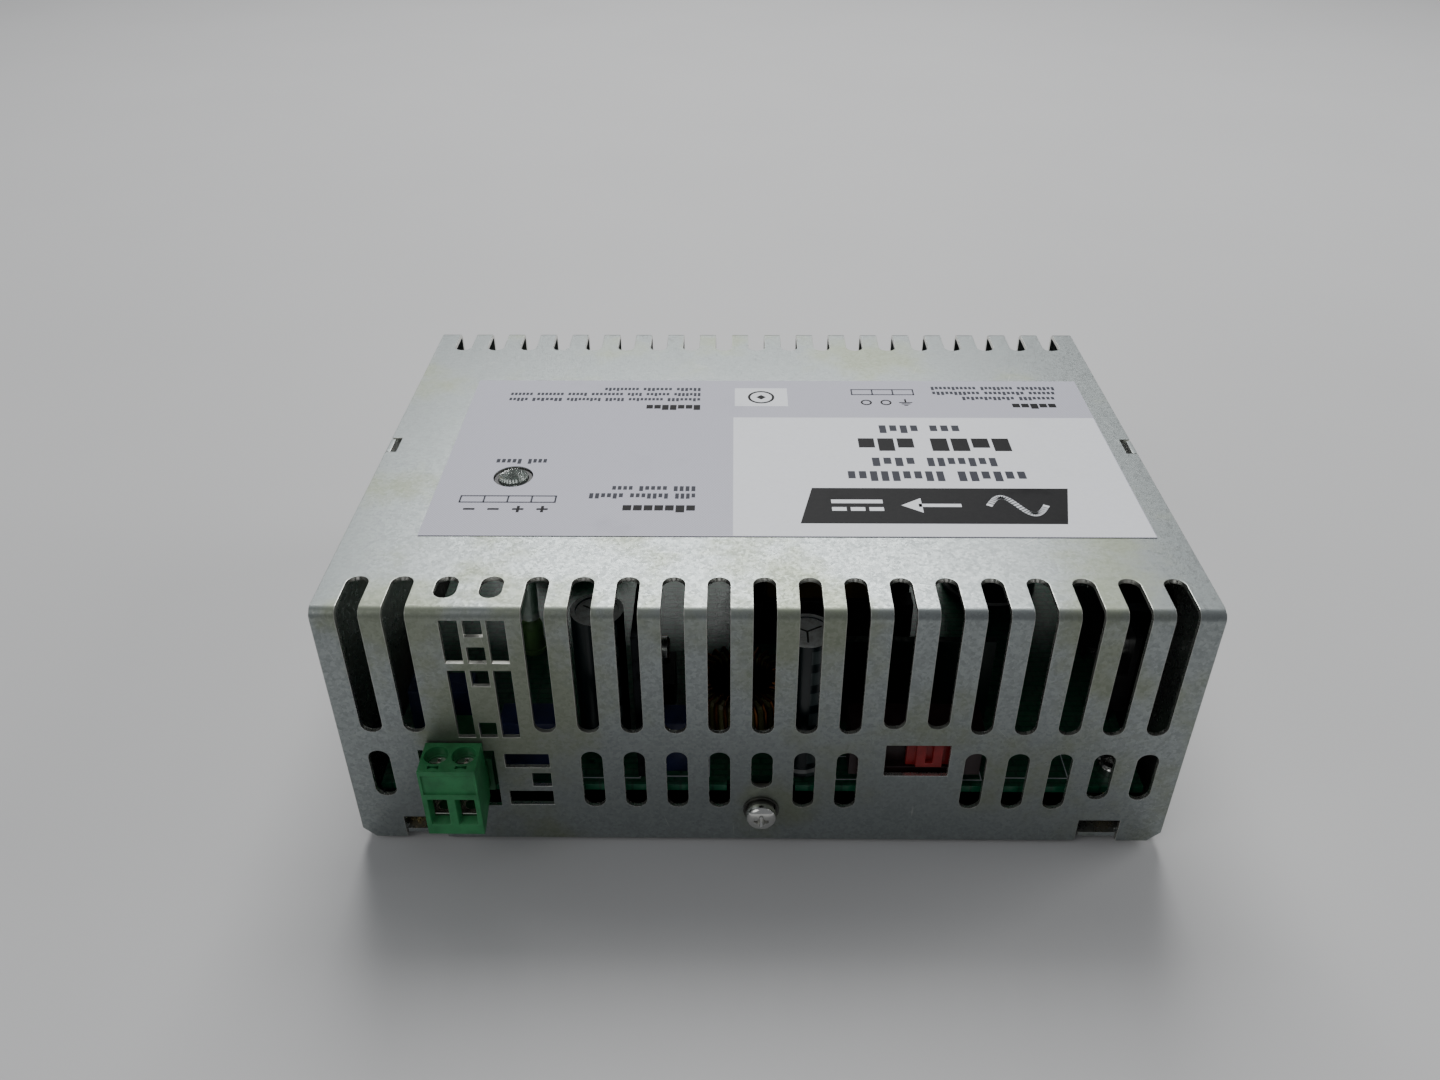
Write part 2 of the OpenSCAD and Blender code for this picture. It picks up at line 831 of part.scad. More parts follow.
module circuit_board() {
    color("seagreen")
        translate([0, 0, board_z])
            linear_extrude(board_t)
                difference() {
                    board_outline_2d();
                    lead_holes_2d(concat(output_pins, input_pins), pin_w * 0.6);
                    lead_holes_2d(concat(y_cap_leads, bridge_leads, bulk_leads, output_cap_leads,
                                         inductor_leads), lead_r);
                    lead_holes_2d(concat(choke_leads, thermistor_leads), thick_lead_r);
                    lead_holes_2d(concat(package_leads, control_pins), flat_lead_r);
                    for (y = sink_tab_y)
                        translate([second_x, y])
                            square([1.2, 2.2], center = true);
                }
}

module lead_holes_2d(places, r) {
    for (p = places)
        translate([p[0], p[1]])
            circle(r = r + lead_gap, $fn = 8);
}

module board_standoffs() {
    color("gold")
        standoff_places()
            difference() {
                union() {
                    translate([0, 0, sheet_t])
                        cylinder(d = 6.3, h = standoff_h, $fn = 6);
                    cylinder(d = 4, h = sheet_t + eps);
                }
                translate([0, 0, 2])
                    cylinder(d = screw_d, h = 20);
            }
}

module board_screws() {
    color("silver")
        standoff_places()
            translate([0, 0, board_top])
                pan_screw(6);
}

// ------------------------------------------------------------ connectors

function cavity_w(n) = header_w(n) - 2 * header_wall;
pin_z = header_h / 2 + 0.1;
nose_depth = header_d - 2.6;
pin_tip = header_y + 3.2;

module header(n) {
    w = header_w(n);
    color("green")
        difference() {
            box(-w / 2, w / 2, header_y, header_y + header_d, 0, header_h);
            box(-cavity_w(n) / 2, cavity_w(n) / 2, header_y - 1, header_y + header_d - 1.8,
                header_wall, header_h - header_wall);
            for (i = [1 : n])
                box(pole_x(n, i) - pin_w / 2, pole_x(n, i) + pin_w / 2, header_y, header_y + header_d + 1,
                    pin_z - pin_w / 2, pin_z + pin_w / 2);
        }
}

module header_pins(n) {
    color("gainsboro")
        for (i = [1 : n]) {
            x = pole_x(n, i);
            box(x - pin_w / 2, x + pin_w / 2, pin_tip, pin_back, pin_z - pin_w / 2, pin_z + pin_w / 2);
            box(x - pin_w / 2, x + pin_w / 2, pin_back - pin_w, pin_back,
                -board_t - lead_out, pin_z - pin_w / 2 + eps);
        }
}

well_y = -plug_out + 4.3;
cage_w = 4.1;
cage_d = 4.8;
cage_wall = 0.7;
cage_low = plug_drop + 2.9;
cage_h = 6.8;
plug_top = plug_drop + plug_h;
bar_t = 0.8;
bar_z = cage_low + cage_h - cage_wall - bar_t - 0.1;
screw_head_z = cage_low + cage_h + clamp_travel + 0.4;
screw_head_h = 1.5;
head_gap = 0.15;
thread_r = 1.25;
driver_slot = 0.6;
driver_deep = 0.9;
cross_l = 2.8;

module bow_tie_2d() {
    polygon([[-1, -0.45], [0, -0.15], [1, -0.45], [1, 0.45], [0, 0.15], [-1, 0.45]]);
}

// A straight-sided funnel: both its plan and its side view are trapezoids
module funnel(w0, w1, z0, z1, inset, y0, y1) {
    intersection() {
        translate([0, 0, z0 - 1])
            linear_extrude(z1 - z0 + 2)
                polygon([[-w0 / 2, y0], [w0 / 2, y0], [w1 / 2, y1], [-w1 / 2, y1]]);
        rib(-w0, 2 * w0)
            polygon([[y0, z0], [y0, z1], [y1, z1 - inset], [y1, z0 + inset]]);
    }
}

module plug(n) {
    w = n * pole + 0.4;
    face_y = -plug_out;
    rear_y = -0.3;
    lip = 1.2;
    panel_z = plug_top - 6.6;
    entry_z = [plug_drop + 2.5, plug_drop + 9.2];
    slot_w = cage_w + 0.2;
    channel_w = 3.6;
    channel_z = [pin_z - 1.7, pin_z + 1.3];
    hole_w = pin_w + 0.4;
    chamber = [well_y - cage_d / 2 - 0.1, well_y + cage_d / 2 + 0.1];
    nose_z = [header_wall + plug_gap, header_h - header_wall - plug_gap];
    color("mediumseagreen")
        difference() {
            union() {
                rib(-w / 2, w)
                    polygon([[face_y, plug_drop], [face_y, plug_top], [rear_y, plug_top],
                             [rear_y, 0.2], [face_y + 0.6, plug_drop]]);
                box(-cavity_w(n) / 2 + plug_gap, cavity_w(n) / 2 - plug_gap,
                    rear_y - 1, nose_depth, nose_z[0], nose_z[1]);
            }
            box(-w / 2 + 0.5, w / 2 - 0.5, face_y - 1, face_y + 0.45, panel_z + 0.6, plug_top - lip);
            for (i = [1 : n])
                translate([pole_x(n, i), 0, 0]) {
                    translate([0, well_y, bar_z])
                        cylinder(d = well_d, h = plug_top);
                    translate([0, well_y, screw_head_z + screw_head_h + head_gap])
                        cylinder(d = driver_d, h = plug_top);
                    box(-slot_w / 2, slot_w / 2, chamber[0], chamber[1],
                        cage_low - 0.2, cage_low + cage_h + clamp_travel + 0.2);
                    funnel(entry_w, entry_w - 0.8, entry_z[0], entry_z[1], 0.7,
                           face_y - eps, chamber[0] + eps);
                    translate([0, face_y + 1.3, plug_top - 2])
                        linear_extrude(3)
                            bow_tie_2d();
                    box(-channel_w / 2, channel_w / 2, chamber[1] - 1, nose_depth - 0.8,
                        channel_z[0], channel_z[1]);
                    box(-hole_w / 2, hole_w / 2, nose_depth - 2, nose_depth + 1,
                        pin_z - hole_w / 2, pin_z + hole_w / 2);
                    box(-channel_w / 2, channel_w / 2, chamber[1] - 1, chamber[1] + 1.5,
                        channel_z[0], bar_z + bar_t + 0.1);
                }
        }
}

// Current bar over the wire, a step down behind the clamp and a blade along the pin
module plug_contacts(n) {
    blade_z = pin_z - pin_w / 2 - 0.1 - bar_t;
    step_y = well_y + cage_d / 2 + 0.4;
    blade_w = 3.2;
    color("goldenrod")
        for (i = [1 : n])
            rib(pole_x(n, i) - blade_w / 2, blade_w)
                polygon([[well_y - 2.2, bar_z], [well_y - 2.2, bar_z + bar_t],
                         [step_y + bar_t, bar_z + bar_t],
                         [step_y + bar_t, blade_z + bar_t], [nose_depth - 1.2, blade_z + bar_t],
                         [nose_depth - 1.2, blade_z], [step_y, blade_z], [step_y, bar_z]]);
}

// Open frame of sheet round the bar; it rises when its screw is tightened
module clamp_cage(n, i) {
    color("silver")
        translate([pole_x(n, i), well_y, cage_low])
            difference() {
                translate([-cage_w / 2, -cage_d / 2, 0])
                    cube([cage_w, cage_d, cage_h]);
                translate([-cage_w / 2 + cage_wall / 2, -cage_d, cage_wall])
                    cube([cage_w - cage_wall, 2 * cage_d, cage_h - 2 * cage_wall]);
                cylinder(r = thread_r + thread_gap, h = 2 * cage_h);
            }
}

module clamp_screw(n, i) {
    color("silver")
        translate([pole_x(n, i), well_y, 0])
            difference() {
                union() {
                    translate([0, 0, bar_z + bar_t + 0.02])
                        cylinder(r = thread_r, h = screw_head_z - bar_z - bar_t);
                    translate([0, 0, screw_head_z])
                        cylinder(d = well_d - 0.2, h = screw_head_h);
                }
                translate([-well_d, -driver_slot / 2, screw_head_z + screw_head_h - driver_deep])
                    cube([2 * well_d, driver_slot, screw_head_h]);
                translate([-driver_slot / 2, -cross_l / 2, screw_head_z + screw_head_h - driver_deep])
                    cube([driver_slot, cross_l, screw_head_h]);
            }
}

module output_header() { at_output() header(out_poles); }
module output_header_pins() { at_output() header_pins(out_poles); }
module output_plug() { at_output() plug(out_poles); }
module output_plug_contacts() { at_output() plug_contacts(out_poles); }
module output_clamp_screw(i) { at_output() clamp_screw(out_poles, i); }
module output_clamp_cage(i) { at_output() clamp_cage(out_poles, i); }
module input_header() { at_input() header(in_poles); }
module input_header_pins() { at_input() header_pins(in_poles); }
module input_plug() { at_input() plug(in_poles); }
module input_plug_contacts() { at_input() plug_contacts(in_poles); }
module input_clamp_screw(i) { at_input() clamp_screw(in_poles, i); }
module input_clamp_cage(i) { at_input() clamp_cage(in_poles, i); }

// ------------------------------------------------------ voltage selector

selector_front = near_y + sheet_t + 0.9;
selector_mid = board_top + selector_lift + selector_window[1] / 2;
slider_plate = [8.4, 1.2, 6.6];
knob_x = selector_x + knob_travel / 2;

module selector_body() {
    z0 = selector_mid - selector_body[2] / 2;
    mouth = [slider_plate[0] + knob_travel + 0.2, slider_plate[1] + 0.6, slider_plate[2] + 0.2];
    color("darkred")
        difference() {
            union() {
                box(selector_x - selector_body[0] / 2, selector_x + selector_body[0] / 2,
                    selector_front, selector_front + selector_body[1], z0, z0 + selector_body[2]);
                for (s = [-1, 1])
                    box(selector_x + s * 6.5 - 1, selector_x + s * 6.5 + 1, selector_front + 3,
                        selector_front + 4.5, board_top, z0 + eps);
            }
            box(selector_x - mouth[0] / 2, selector_x + mouth[0] / 2, selector_front - 1,
                selector_front + mouth[1], selector_mid - mouth[2] / 2, selector_mid + mouth[2] / 2);
        }
}

module selector_slider() {
    plate_y = selector_front + 0.5;
    color("red")
        difference() {
            union() {
                box(knob_x - slider_plate[0] / 2, knob_x + slider_plate[0] / 2,
                    plate_y, plate_y + slider_plate[1],
                    selector_mid - slider_plate[2] / 2, selector_mid + slider_plate[2] / 2);
                box(knob_x - knob_w / 2, knob_x + knob_w / 2, plate_y - 1, plate_y + eps,
                    selector_mid - slider_plate[2] / 2 + 0.3, selector_mid + slider_plate[2] / 2 - 0.3);
            }
            box(knob_x - 0.7, knob_x + 0.7, plate_y - 2, plate_y + 0.2,
                selector_mid - 2, selector_mid + slider_plate[2]);
        }
}

// ------------------------------------------------------ power parts

module fuse() {
    color("honeydew")
        translate([fuse_x - 10, fuse_y, fuse_z])
            rotate([0, 90, 0]) {
                cylinder(d = 4.8, h = 20);
                for (x = [0, 15])
                    translate([0, 0, x])
                        cylinder(d = 5.2, h = 5);
            }
}

module fuse_clips() {
    color("gold")
        for (s = [-1, 1])
            translate([fuse_x + s * 7.5 - 2, fuse_y, 0]) {
                box(0, 4, -3.2, 3.2, board_top, board_top + 0.5);
                for (t = [-1, 1])
                    box(0, 4, t > 0 ? 2.65 : -3.15, t > 0 ? 3.15 : -2.65, board_top, fuse_z + 3);
            }
}

module choke_core() {
    color("darkslategray")
        translate([choke_place[0], choke_place[1], board_top + choke_lift])
            difference() {
                cylinder(r = choke_r[1], h = choke_h);
                translate([0, 0, -1])
                    cylinder(r = choke_r[0], h = choke_h + 2);
            }
}

module choke_windings() {
    wire = 1;
    color("peru")
        translate([choke_place[0], choke_place[1], board_top + choke_lift])
            for (a = [20, 200])
                rotate([0, 0, a])
                    rotate_extrude(angle = 140)
                        difference() {
                            translate([choke_r[0] - wire, -wire])
                                square([choke_r[1] - choke_r[0] + 2 * wire, choke_h + 2 * wire]);
                            translate([choke_r[0] - 0.05, -0.05])
                                square([choke_r[1] - choke_r[0] + 0.1, choke_h + 0.1]);
                        }
    color("peru")
        leads(choke_leads, choke_lift - wire + 0.1, thick_lead_r);
}

// Round leads from under the board up to a height above it
module leads(places, height, r) {
    for (p = places)
        translate([p[0], p[1], board_z - lead_out])
            cylinder(r = r, h = lead_out + board_t + height);
}

module box_part(x, y, w, d, h) {
    box(x - w / 2, x + w / 2, y - d / 2, y + d / 2, board_top, board_top + h);
}

module x_capacitor() {
    color("khaki")
        box_part(-17, far_y - 14, 18, 9, 16);
}

module y_capacitors() {
    color("royalblue")
        for (x = y_cap_x)
            translate([x, y_cap_y, board_top + 6.4])
                rotate([0, 90, 0])
                    cylinder(d = 9, h = 3.6, center = true);
    color("royalblue")
        leads(y_cap_leads, 3.4, lead_r);
}

module inrush_thermistor() {
    color("darkgreen")
        translate([fuse_x, fuse_y - 10, board_top + 7.5])
            rotate([90, 0, 0])
                cylinder(d = 11, h = 4.5, center = true);
    color("darkgreen")
        leads(thermistor_leads, 4.4, thick_lead_r);
}

module bridge_rectifier() {
    p = bridge_place;
    color("dimgray") {
        box(p[0] - 11, p[0] + 11, p[1] - 2, p[1] + 2, board_top + 3, board_top + 18);
        leads(bridge_leads, 3.1, lead_r);
    }
}

module can(x, y, d, h) {
    translate([x, y, board_top + 0.5]) {
        cylinder(d = d, h = 0.8);
        translate([0, 0, 0.8])
            cylinder(d = d - 0.7, h = 0.8);
        difference() {
            translate([0, 0, 1.6])
                cylinder(d = d, h = h - 1.6);
            translate([0, 0, h - 0.3])
                cylinder(d = d - 1.8, h = 1);
        }
    }
}

module bulk_capacitors() {
    color("midnightblue")
        for (p = bulk_places)
            can(p[0], p[1], bulk_d, bulk_h);
    color("midnightblue")
        leads(bulk_leads, 0.6, lead_r);
}

module output_capacitors() {
    color("teal")
        for (p = cap_places)
            can(p[0], p[1], cap_d, cap_h);
    color("teal")
        leads(output_cap_leads, 0.6, lead_r);
}

film_box = [13, 6, 12];
film_gap = 0.7;

module film_capacitors() {
    color("burlywood")
        box_part(-16.2, near_y + 9, 7, 5.5, 13);
    color("royalblue") {
        box_part(out_x + header_w(out_poles) / 2 + film_gap + film_box[0] / 2, near_y + 10,
                 film_box[0], film_box[1], film_box[2]);
        box_part(out_x - 6.5, near_y + 19, film_box[0], film_box[1], film_box[2]);
    }
}

core_place = [14, 2];
core_size = [40, 13, 30];
core_leg = 7;
core_z = board_top + 4;

module transformer_core() {
    window = [core_size[0] / 2 - core_leg - 6.5, core_size[2] - 2 * core_leg];
    color("darkslategray")
        translate([core_place[0], core_place[1], core_z])
            difference() {
                box(-core_size[0] / 2, core_size[0] / 2, -core_size[1] / 2, core_size[1] / 2,
                    0, core_size[2]);
                for (s = [-1, 1])
                    box(s > 0 ? 6.5 : -6.5 - window[0], s > 0 ? 6.5 + window[0] : -6.5,
                        -core_size[1], core_size[1], core_leg, core_leg + window[1]);
            }
}

bobbin_w = core_size[0] - 2 * core_leg - 0.4;
bobbin_d = 27;

module bobbin_cut() {
    box(-6.7, 6.7, -core_size[1] / 2 - 0.2, core_size[1] / 2 + 0.2, -1, core_size[2] + 1);
}

module transformer_bobbin() {
    z0 = core_leg + 0.2;
    z1 = core_size[2] - core_leg - 0.2;
    color("black")
        translate([core_place[0], core_place[1], core_z]) {
            difference() {
                union() {
                    box(-bobbin_w / 2, bobbin_w / 2, -bobbin_d / 2, bobbin_d / 2, z0, z0 + 1);
                    box(-bobbin_w / 2, bobbin_w / 2, -bobbin_d / 2, bobbin_d / 2, z1 - 1, z1);
                    box(-7.7, 7.7, -core_size[1] / 2 - 1.2, core_size[1] / 2 + 1.2, z0, z1);
                }
                bobbin_cut();
            }
            for (s = [-1, 1])
                difference() {
                    box(-core_size[0] / 2, core_size[0] / 2, s > 0 ? bobbin_d / 2 - 5 : -bobbin_d / 2,
                        s > 0 ? bobbin_d / 2 : -bobbin_d / 2 + 5, -4, z0 + eps);
                    box(-core_size[0], core_size[0], -core_size[1] / 2 - 0.2, core_size[1] / 2 + 0.2, -5, 20);
                }
        }
}

module transformer_winding() {
    z0 = core_leg + 1.25;
    z1 = core_size[2] - core_leg - 1.25;
    color("gold")
        translate([core_place[0], core_place[1], core_z])
            difference() {
                box(-bobbin_w / 2 + 0.4, bobbin_w / 2 - 0.4, -bobbin_d / 2 + 0.6, bobbin_d / 2 - 0.6, z0, z1);
                box(-7.8, 7.8, -core_size[1] / 2 - 1.3, core_size[1] / 2 + 1.3, -1, core_size[2]);
            }
}

module output_inductor() {
    r = [5.5, 10.5];
    color("olivedrab") {
        translate([inductor_place[0], inductor_place[1], board_top + 0.3])
            rotate_extrude()
                difference() {
                    translate([r[0], 0])
                        square([r[1] - r[0], 12.5]);
                    translate([r[1] - 1, 11.5])
                        difference() {
                            square(2);
                            circle(1);
                        }
                }
        leads(inductor_leads, 0.4, lead_r);
    }
}

module primary_heat_sink() {
    color("silver")
        difference() {
            union() {
                box(side_in - heat_sink_t, side_in, sink_y[0], sink_y[1], sink_z, sink_z + sink_h);
                box(side_in - 9, side_in, sink_y[0], sink_y[1], sink_z + sink_h - 2, sink_z + sink_h);
            }
            heat_sink_screw_places()
                rotate([0, 90, 0])
                    cylinder(d = screw_d, h = 20, center = true);
            transistor_screw_places()
                cylinder(d = screw_d, h = 2 * heat_sink_t + 2, center = true);
        }
}

module transistor_screw_places() {
    for (y = transistor_y)
        translate([side_in - heat_sink_t, y, sink_z + 16])
            rotate([0, -90, 0])
                children();
}

module diode_screw_place() {
    translate([second_x + 1, diode_y, sink_z + 16])
        rotate([0, 90, 0])
            children();
}

module secondary_heat_sink() {
    color("silver")
        difference() {
            union() {
                box(second_x - 1, second_x + 1, second_y[0], second_y[1], board_top + 1, board_top + 1 + second_h);
                for (y = sink_tab_y)
                    box(second_x - 0.5, second_x + 0.5, y - 1, y + 1, board_z - 1, board_top + 1 + eps);
            }
            diode_screw_place()
                cylinder(d = screw_d, h = 6, center = true);
        }
}

// Flat power package standing with its back at z = 0 of its own frame
module power_package() {
    translate([0, 0, 0.25])
        difference() {
            translate([-8, -5, 0])
                cube([13, 10, 1.3]);
            translate([0, 0, -1])
                cylinder(d = screw_d + 0.4, h = 9);
        }
    translate([-14, -5, 0.25])
        cube([9.4, 10, 4.4]);
}

module power_semiconductors() {
    color("black") {
        transistor_screw_places()
            power_package();
        diode_screw_place()
            rotate([0, 0, 180])
                power_package();
        for (p = package_leads)
            box(p[0] - 0.3, p[0] + 0.3, p[1] - 0.4, p[1] + 0.4, board_z - lead_out, sink_z + 2.2);
    }
}

module semiconductor_screws() {
    color("silver") {
        transistor_screw_places()
            translate([0, 0, 1.55])
                pan_screw(heat_sink_t);
        diode_screw_place()
            translate([0, 0, 1.55])
                pan_screw(4);
        heat_sink_screw_places()
            rotate([0, 90, 0]) {
                translate([0, 0, sheet_t - 0.85])
                    difference() {
                        cylinder(d1 = screw_d, d2 = 5.2, h = 0.85);
                        for (a = [0, 90])
                            rotate([0, 0, a])
                                translate([-1.4, -0.3, 0.35])
                                    cube([2.8, 0.6, 1]);
                    }
                translate([0, 0, -heat_sink_t + 0.3])
                    cylinder(d = screw_d - 2 * thread_gap, h = heat_sink_t + sheet_t - 1.1);
            }
    }
}

module control_board() {
    y = control_y;
    x0 = control_x;
    color("seagreen")
        box(x0, x0 + 30, y, y + 1.6, board_top + 1, board_top + 22);
    color("black") {
        for (x = [x0 + 6, x0 + 20])
            box(x, x + 6, y + 1.6, y + 4.6, board_top + 8, board_top + 17);
        for (p = control_pins)
            box(p[0] - 0.3, p[0] + 0.3, p[1] - 0.3, p[1] + 0.3, board_z - lead_out, board_top + 1 + eps);
    }
}

// ------------------------------------------------------------ assembly

chassis();
cover();
cover_screws();
cover_lock_washers();
cover_plain_washers();
rating_label();
light_pipe();
light_pipe_ring();
status_led();
rail_hook_left();
rail_hook_right();
rail_latch();
latch_spring();
latch_guides();
clip_rivets();
insulation_sheet();
circuit_board();
board_standoffs();
board_screws();
output_header();
output_header_pins();
output_plug();
output_plug_contacts();
for (i = [1 : out_poles]) {
    output_clamp_screw(i);
    output_clamp_cage(i);
}
input_header();
input_header_pins();
input_plug();
input_plug_contacts();
for (i = [1 : in_poles]) {
    input_clamp_screw(i);
    input_clamp_cage(i);
}
selector_body();
selector_slider();
fuse();
fuse_clips();
choke_core();
choke_windings();
x_capacitor();
y_capacitors();
inrush_thermistor();
bridge_rectifier();
bulk_capacitors();
transformer_core();
transformer_bobbin();
transformer_winding();
output_inductor();
output_capacitors();
film_capacitors();
primary_heat_sink();
secondary_heat_sink();
power_semiconductors();
semiconductor_screws();
control_board();
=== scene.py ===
"""Visual model of a vented sheet-steel power supply that clips onto a rail.

Lengths inside the classes are millimetres. They become metres when a mesh is made.
"""

from __future__ import annotations

import logging
import math
import random
from collections.abc import Iterable, Sequence
from dataclasses import dataclass, field
from enum import Enum

import bmesh
import bpy
from mathutils import Euler, Matrix, Vector


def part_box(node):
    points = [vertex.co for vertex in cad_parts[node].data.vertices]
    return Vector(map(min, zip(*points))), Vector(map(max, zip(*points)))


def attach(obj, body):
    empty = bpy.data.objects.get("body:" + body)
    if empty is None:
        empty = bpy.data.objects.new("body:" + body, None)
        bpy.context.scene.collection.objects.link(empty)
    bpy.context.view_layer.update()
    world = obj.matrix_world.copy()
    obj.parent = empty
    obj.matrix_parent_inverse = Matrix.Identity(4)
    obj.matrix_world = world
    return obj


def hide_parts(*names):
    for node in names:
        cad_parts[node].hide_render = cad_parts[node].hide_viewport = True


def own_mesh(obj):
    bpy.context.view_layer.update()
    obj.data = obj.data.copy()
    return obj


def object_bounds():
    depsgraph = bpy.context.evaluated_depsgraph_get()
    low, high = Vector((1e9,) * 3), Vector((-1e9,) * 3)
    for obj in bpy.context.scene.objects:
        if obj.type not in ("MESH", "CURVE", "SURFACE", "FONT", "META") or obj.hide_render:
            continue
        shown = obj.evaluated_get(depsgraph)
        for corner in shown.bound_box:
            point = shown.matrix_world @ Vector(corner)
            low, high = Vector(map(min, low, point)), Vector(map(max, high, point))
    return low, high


Colour = tuple[float, float, float]
Point = tuple[float, float, float]
Flat = tuple[float, float]
Edges = tuple[float, float, float, float]

MM = 0.001
WIRE_SIDES = 8
SHARP_ANGLE = 32.0
SMOOTH_ANGLE = 35.0
ROUNDED_SMOOTH_ANGLE = 40.0
WELD_DISTANCE = 1e-6

logging.basicConfig(level=logging.INFO, format="%(name)s: %(message)s")
log = logging.getLogger("power_supply")

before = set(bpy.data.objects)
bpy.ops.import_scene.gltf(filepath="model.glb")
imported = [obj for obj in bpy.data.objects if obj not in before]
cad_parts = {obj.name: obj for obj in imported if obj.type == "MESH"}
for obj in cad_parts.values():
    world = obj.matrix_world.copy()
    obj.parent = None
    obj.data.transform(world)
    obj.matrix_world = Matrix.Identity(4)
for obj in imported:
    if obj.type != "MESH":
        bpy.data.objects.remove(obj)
cad_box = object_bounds()


def shade(red: int, green: int, blue: int) -> Colour:
    """Turn a display colour into the linear colour that shaders use.

    Args:
        red: Red from 0 to 255.
        green: Green from 0 to 255.
        blue: Blue from 0 to 255.

    Returns:
        The linear colour.
    """
    shares = (red / 255, green / 255, blue / 255)
    return tuple(((c + 0.055) / 1.055) ** 2.4 if c > 10 / 255 else c / 12.92 for c in shares)


def dimmed(colour: Colour, share: float) -> Colour:
    """Give a share of a colour."""
    return tuple(c * share for c in colour)


# ---------------------------------------------------------------- shader nodes


class NodeDesk:
    """Places and joins nodes in one node tree."""

    def __init__(self, tree: bpy.types.NodeTree) -> None:
        """Start work on a tree.

        Args:
            tree: The node tree of a material or a group.
        """
        self.tree = tree
        self.column = 0

    def node(self, kind: str, **settings: object) -> bpy.types.Node:
        """Add one node.

        Args:
            kind: The node's type name.
            **settings: Properties to set on it.

        Returns:
            The new node.
        """
        made = self.tree.nodes.new(kind)
        made.location = (180 * self.column, -60 * (self.column % 5))
        self.column += 1
        for name, value in settings.items():
            setattr(made, name, value)
        return made

    def feed(self, socket: bpy.types.NodeSocket, value: object) -> None:
        """Link a socket to another, or set its plain value.

        Args:
            socket: The input to fill.
            value: An output socket, a number or a colour.
        """
        if isinstance(value, bpy.types.NodeSocket):
            self.tree.links.new(value, socket)
        elif isinstance(value, tuple) and socket.type == "RGBA":
            socket.default_value = (*value[:3], 1.0)
        else:
            socket.default_value = value

    def math(
        self, operation: str, first: object, second: object = 0.0, clamp: bool = False
    ) -> bpy.types.NodeSocket:
        """Combine two numbers.

        Args:
            operation: The Math node's operation.
            first: Its first input.
            second: Its second input.
            clamp: Whether the result is kept from 0 to 1.

        Returns:
            The result.
        """
        made = self.node("ShaderNodeMath", operation=operation, use_clamp=clamp)
        self.feed(made.inputs[0], first)
        self.feed(made.inputs[1], second)
        return made.outputs[0]

    def mix(self, factor: object, low: object, high: object) -> bpy.types.NodeSocket:
        """Mix two colours.

        Args:
            factor: How much of the second colour shows.
            low: The first colour.
            high: The second colour.

        Returns:
            The mixed colour.
        """
        made = self.node("ShaderNodeMix", data_type="RGBA")
        self.feed(made.inputs[0], factor)
        self.feed(made.inputs[6], low)
        self.feed(made.inputs[7], high)
        return made.outputs[2]

    def span(self, value: object, low: object, high: object) -> bpy.types.NodeSocket:
        """Map a range of values smoothly onto 0 to 1.

        Args:
            value: The value to map.
            low: Value that gives 0.
            high: Value that gives 1.

        Returns:
            The mapped value.
        """
        made = self.node("ShaderNodeMapRange", interpolation_type="SMOOTHSTEP")
        for index, item in enumerate((value, low, high)):
            self.feed(made.inputs[index], item)
        return made.outputs[0]

    def noise(
        self, place: object, scale: object, detail: float = 2.0, rough: float = 0.5
    ) -> bpy.types.NodeSocket:
        """Add soft noise.

        Args:
            place: The position vector.
            scale: Waves per unit of place.
            detail: Number of finer layers.
            rough: Strength of the finer layers.

        Returns:
            The noise value.
        """
        made = self.node("ShaderNodeTexNoise")
        self.feed(made.inputs["Vector"], place)
        self.feed(made.inputs["Scale"], scale)
        made.inputs["Detail"].default_value = detail
        made.inputs["Roughness"].default_value = rough
        return made.outputs[0]

    def place(self, scale: Point = (1.0, 1.0, 1.0), turn: Point = (0.0, 0.0, 0.0)) -> bpy.types.NodeSocket:
        """Give the position on the piece in millimetres.

        Args:
            scale: Stretch along each axis.
            turn: Turn in degrees before the stretch.

        Returns:
            The position vector.
        """
        coordinates = self.node("ShaderNodeTexCoord")
        turned = self.node("ShaderNodeVectorRotate", rotation_type="EULER_XYZ")
        self.feed(turned.inputs["Vector"], coordinates.outputs["Object"])
        turned.inputs["Rotation"].default_value = tuple(math.radians(a) for a in turn)
        scaled = self.node("ShaderNodeVectorMath", operation="MULTIPLY")
        self.feed(scaled.inputs[0], turned.outputs[0])
        scaled.inputs[1].default_value = tuple(s / MM for s in scale)
        return scaled.outputs[0]

    def axes(self, vector: bpy.types.NodeSocket) -> tuple[bpy.types.NodeSocket, ...]:
        """Split a vector into its three numbers."""
        made = self.node("ShaderNodeSeparateXYZ")
        self.feed(made.inputs[0], vector)
        return tuple(made.outputs)

    def normal(self) -> tuple[bpy.types.NodeSocket, ...]:
        """Give the three numbers of the surface's own direction."""
        return self.axes(self.node("ShaderNodeNewGeometry").outputs["True Normal"])

    def effect(self, effect: Effect, **values: object) -> bpy.types.Node:
        """Place a shared effect group.

        Args:
            effect: Which effect.
            **values: Its inputs by name, with _ for a space.

        Returns:
            The group node.
        """
        made = self.node("ShaderNodeGroup", node_tree=effects.tree(effect))
        for name, value in values.items():
            self.feed(made.inputs[name.replace("_", " ")], value)
        return made


class Effect(Enum):
    """Surface effects that several finishes share."""

    SPANGLE = "zinc_spangle"
    STAIN = "handling_stains"
    SCRATCH = "fine_scratches"
    GRAIN = "moulded_grain"
    DUST = "settled_dust"
    # Painted highlight on the punched edges.
    EDGE_HIGHLIGHT = "painted_edge_highlight"
    # Painted shade inside the case.
    INSIDE_SHADE = "painted_inside_shade"


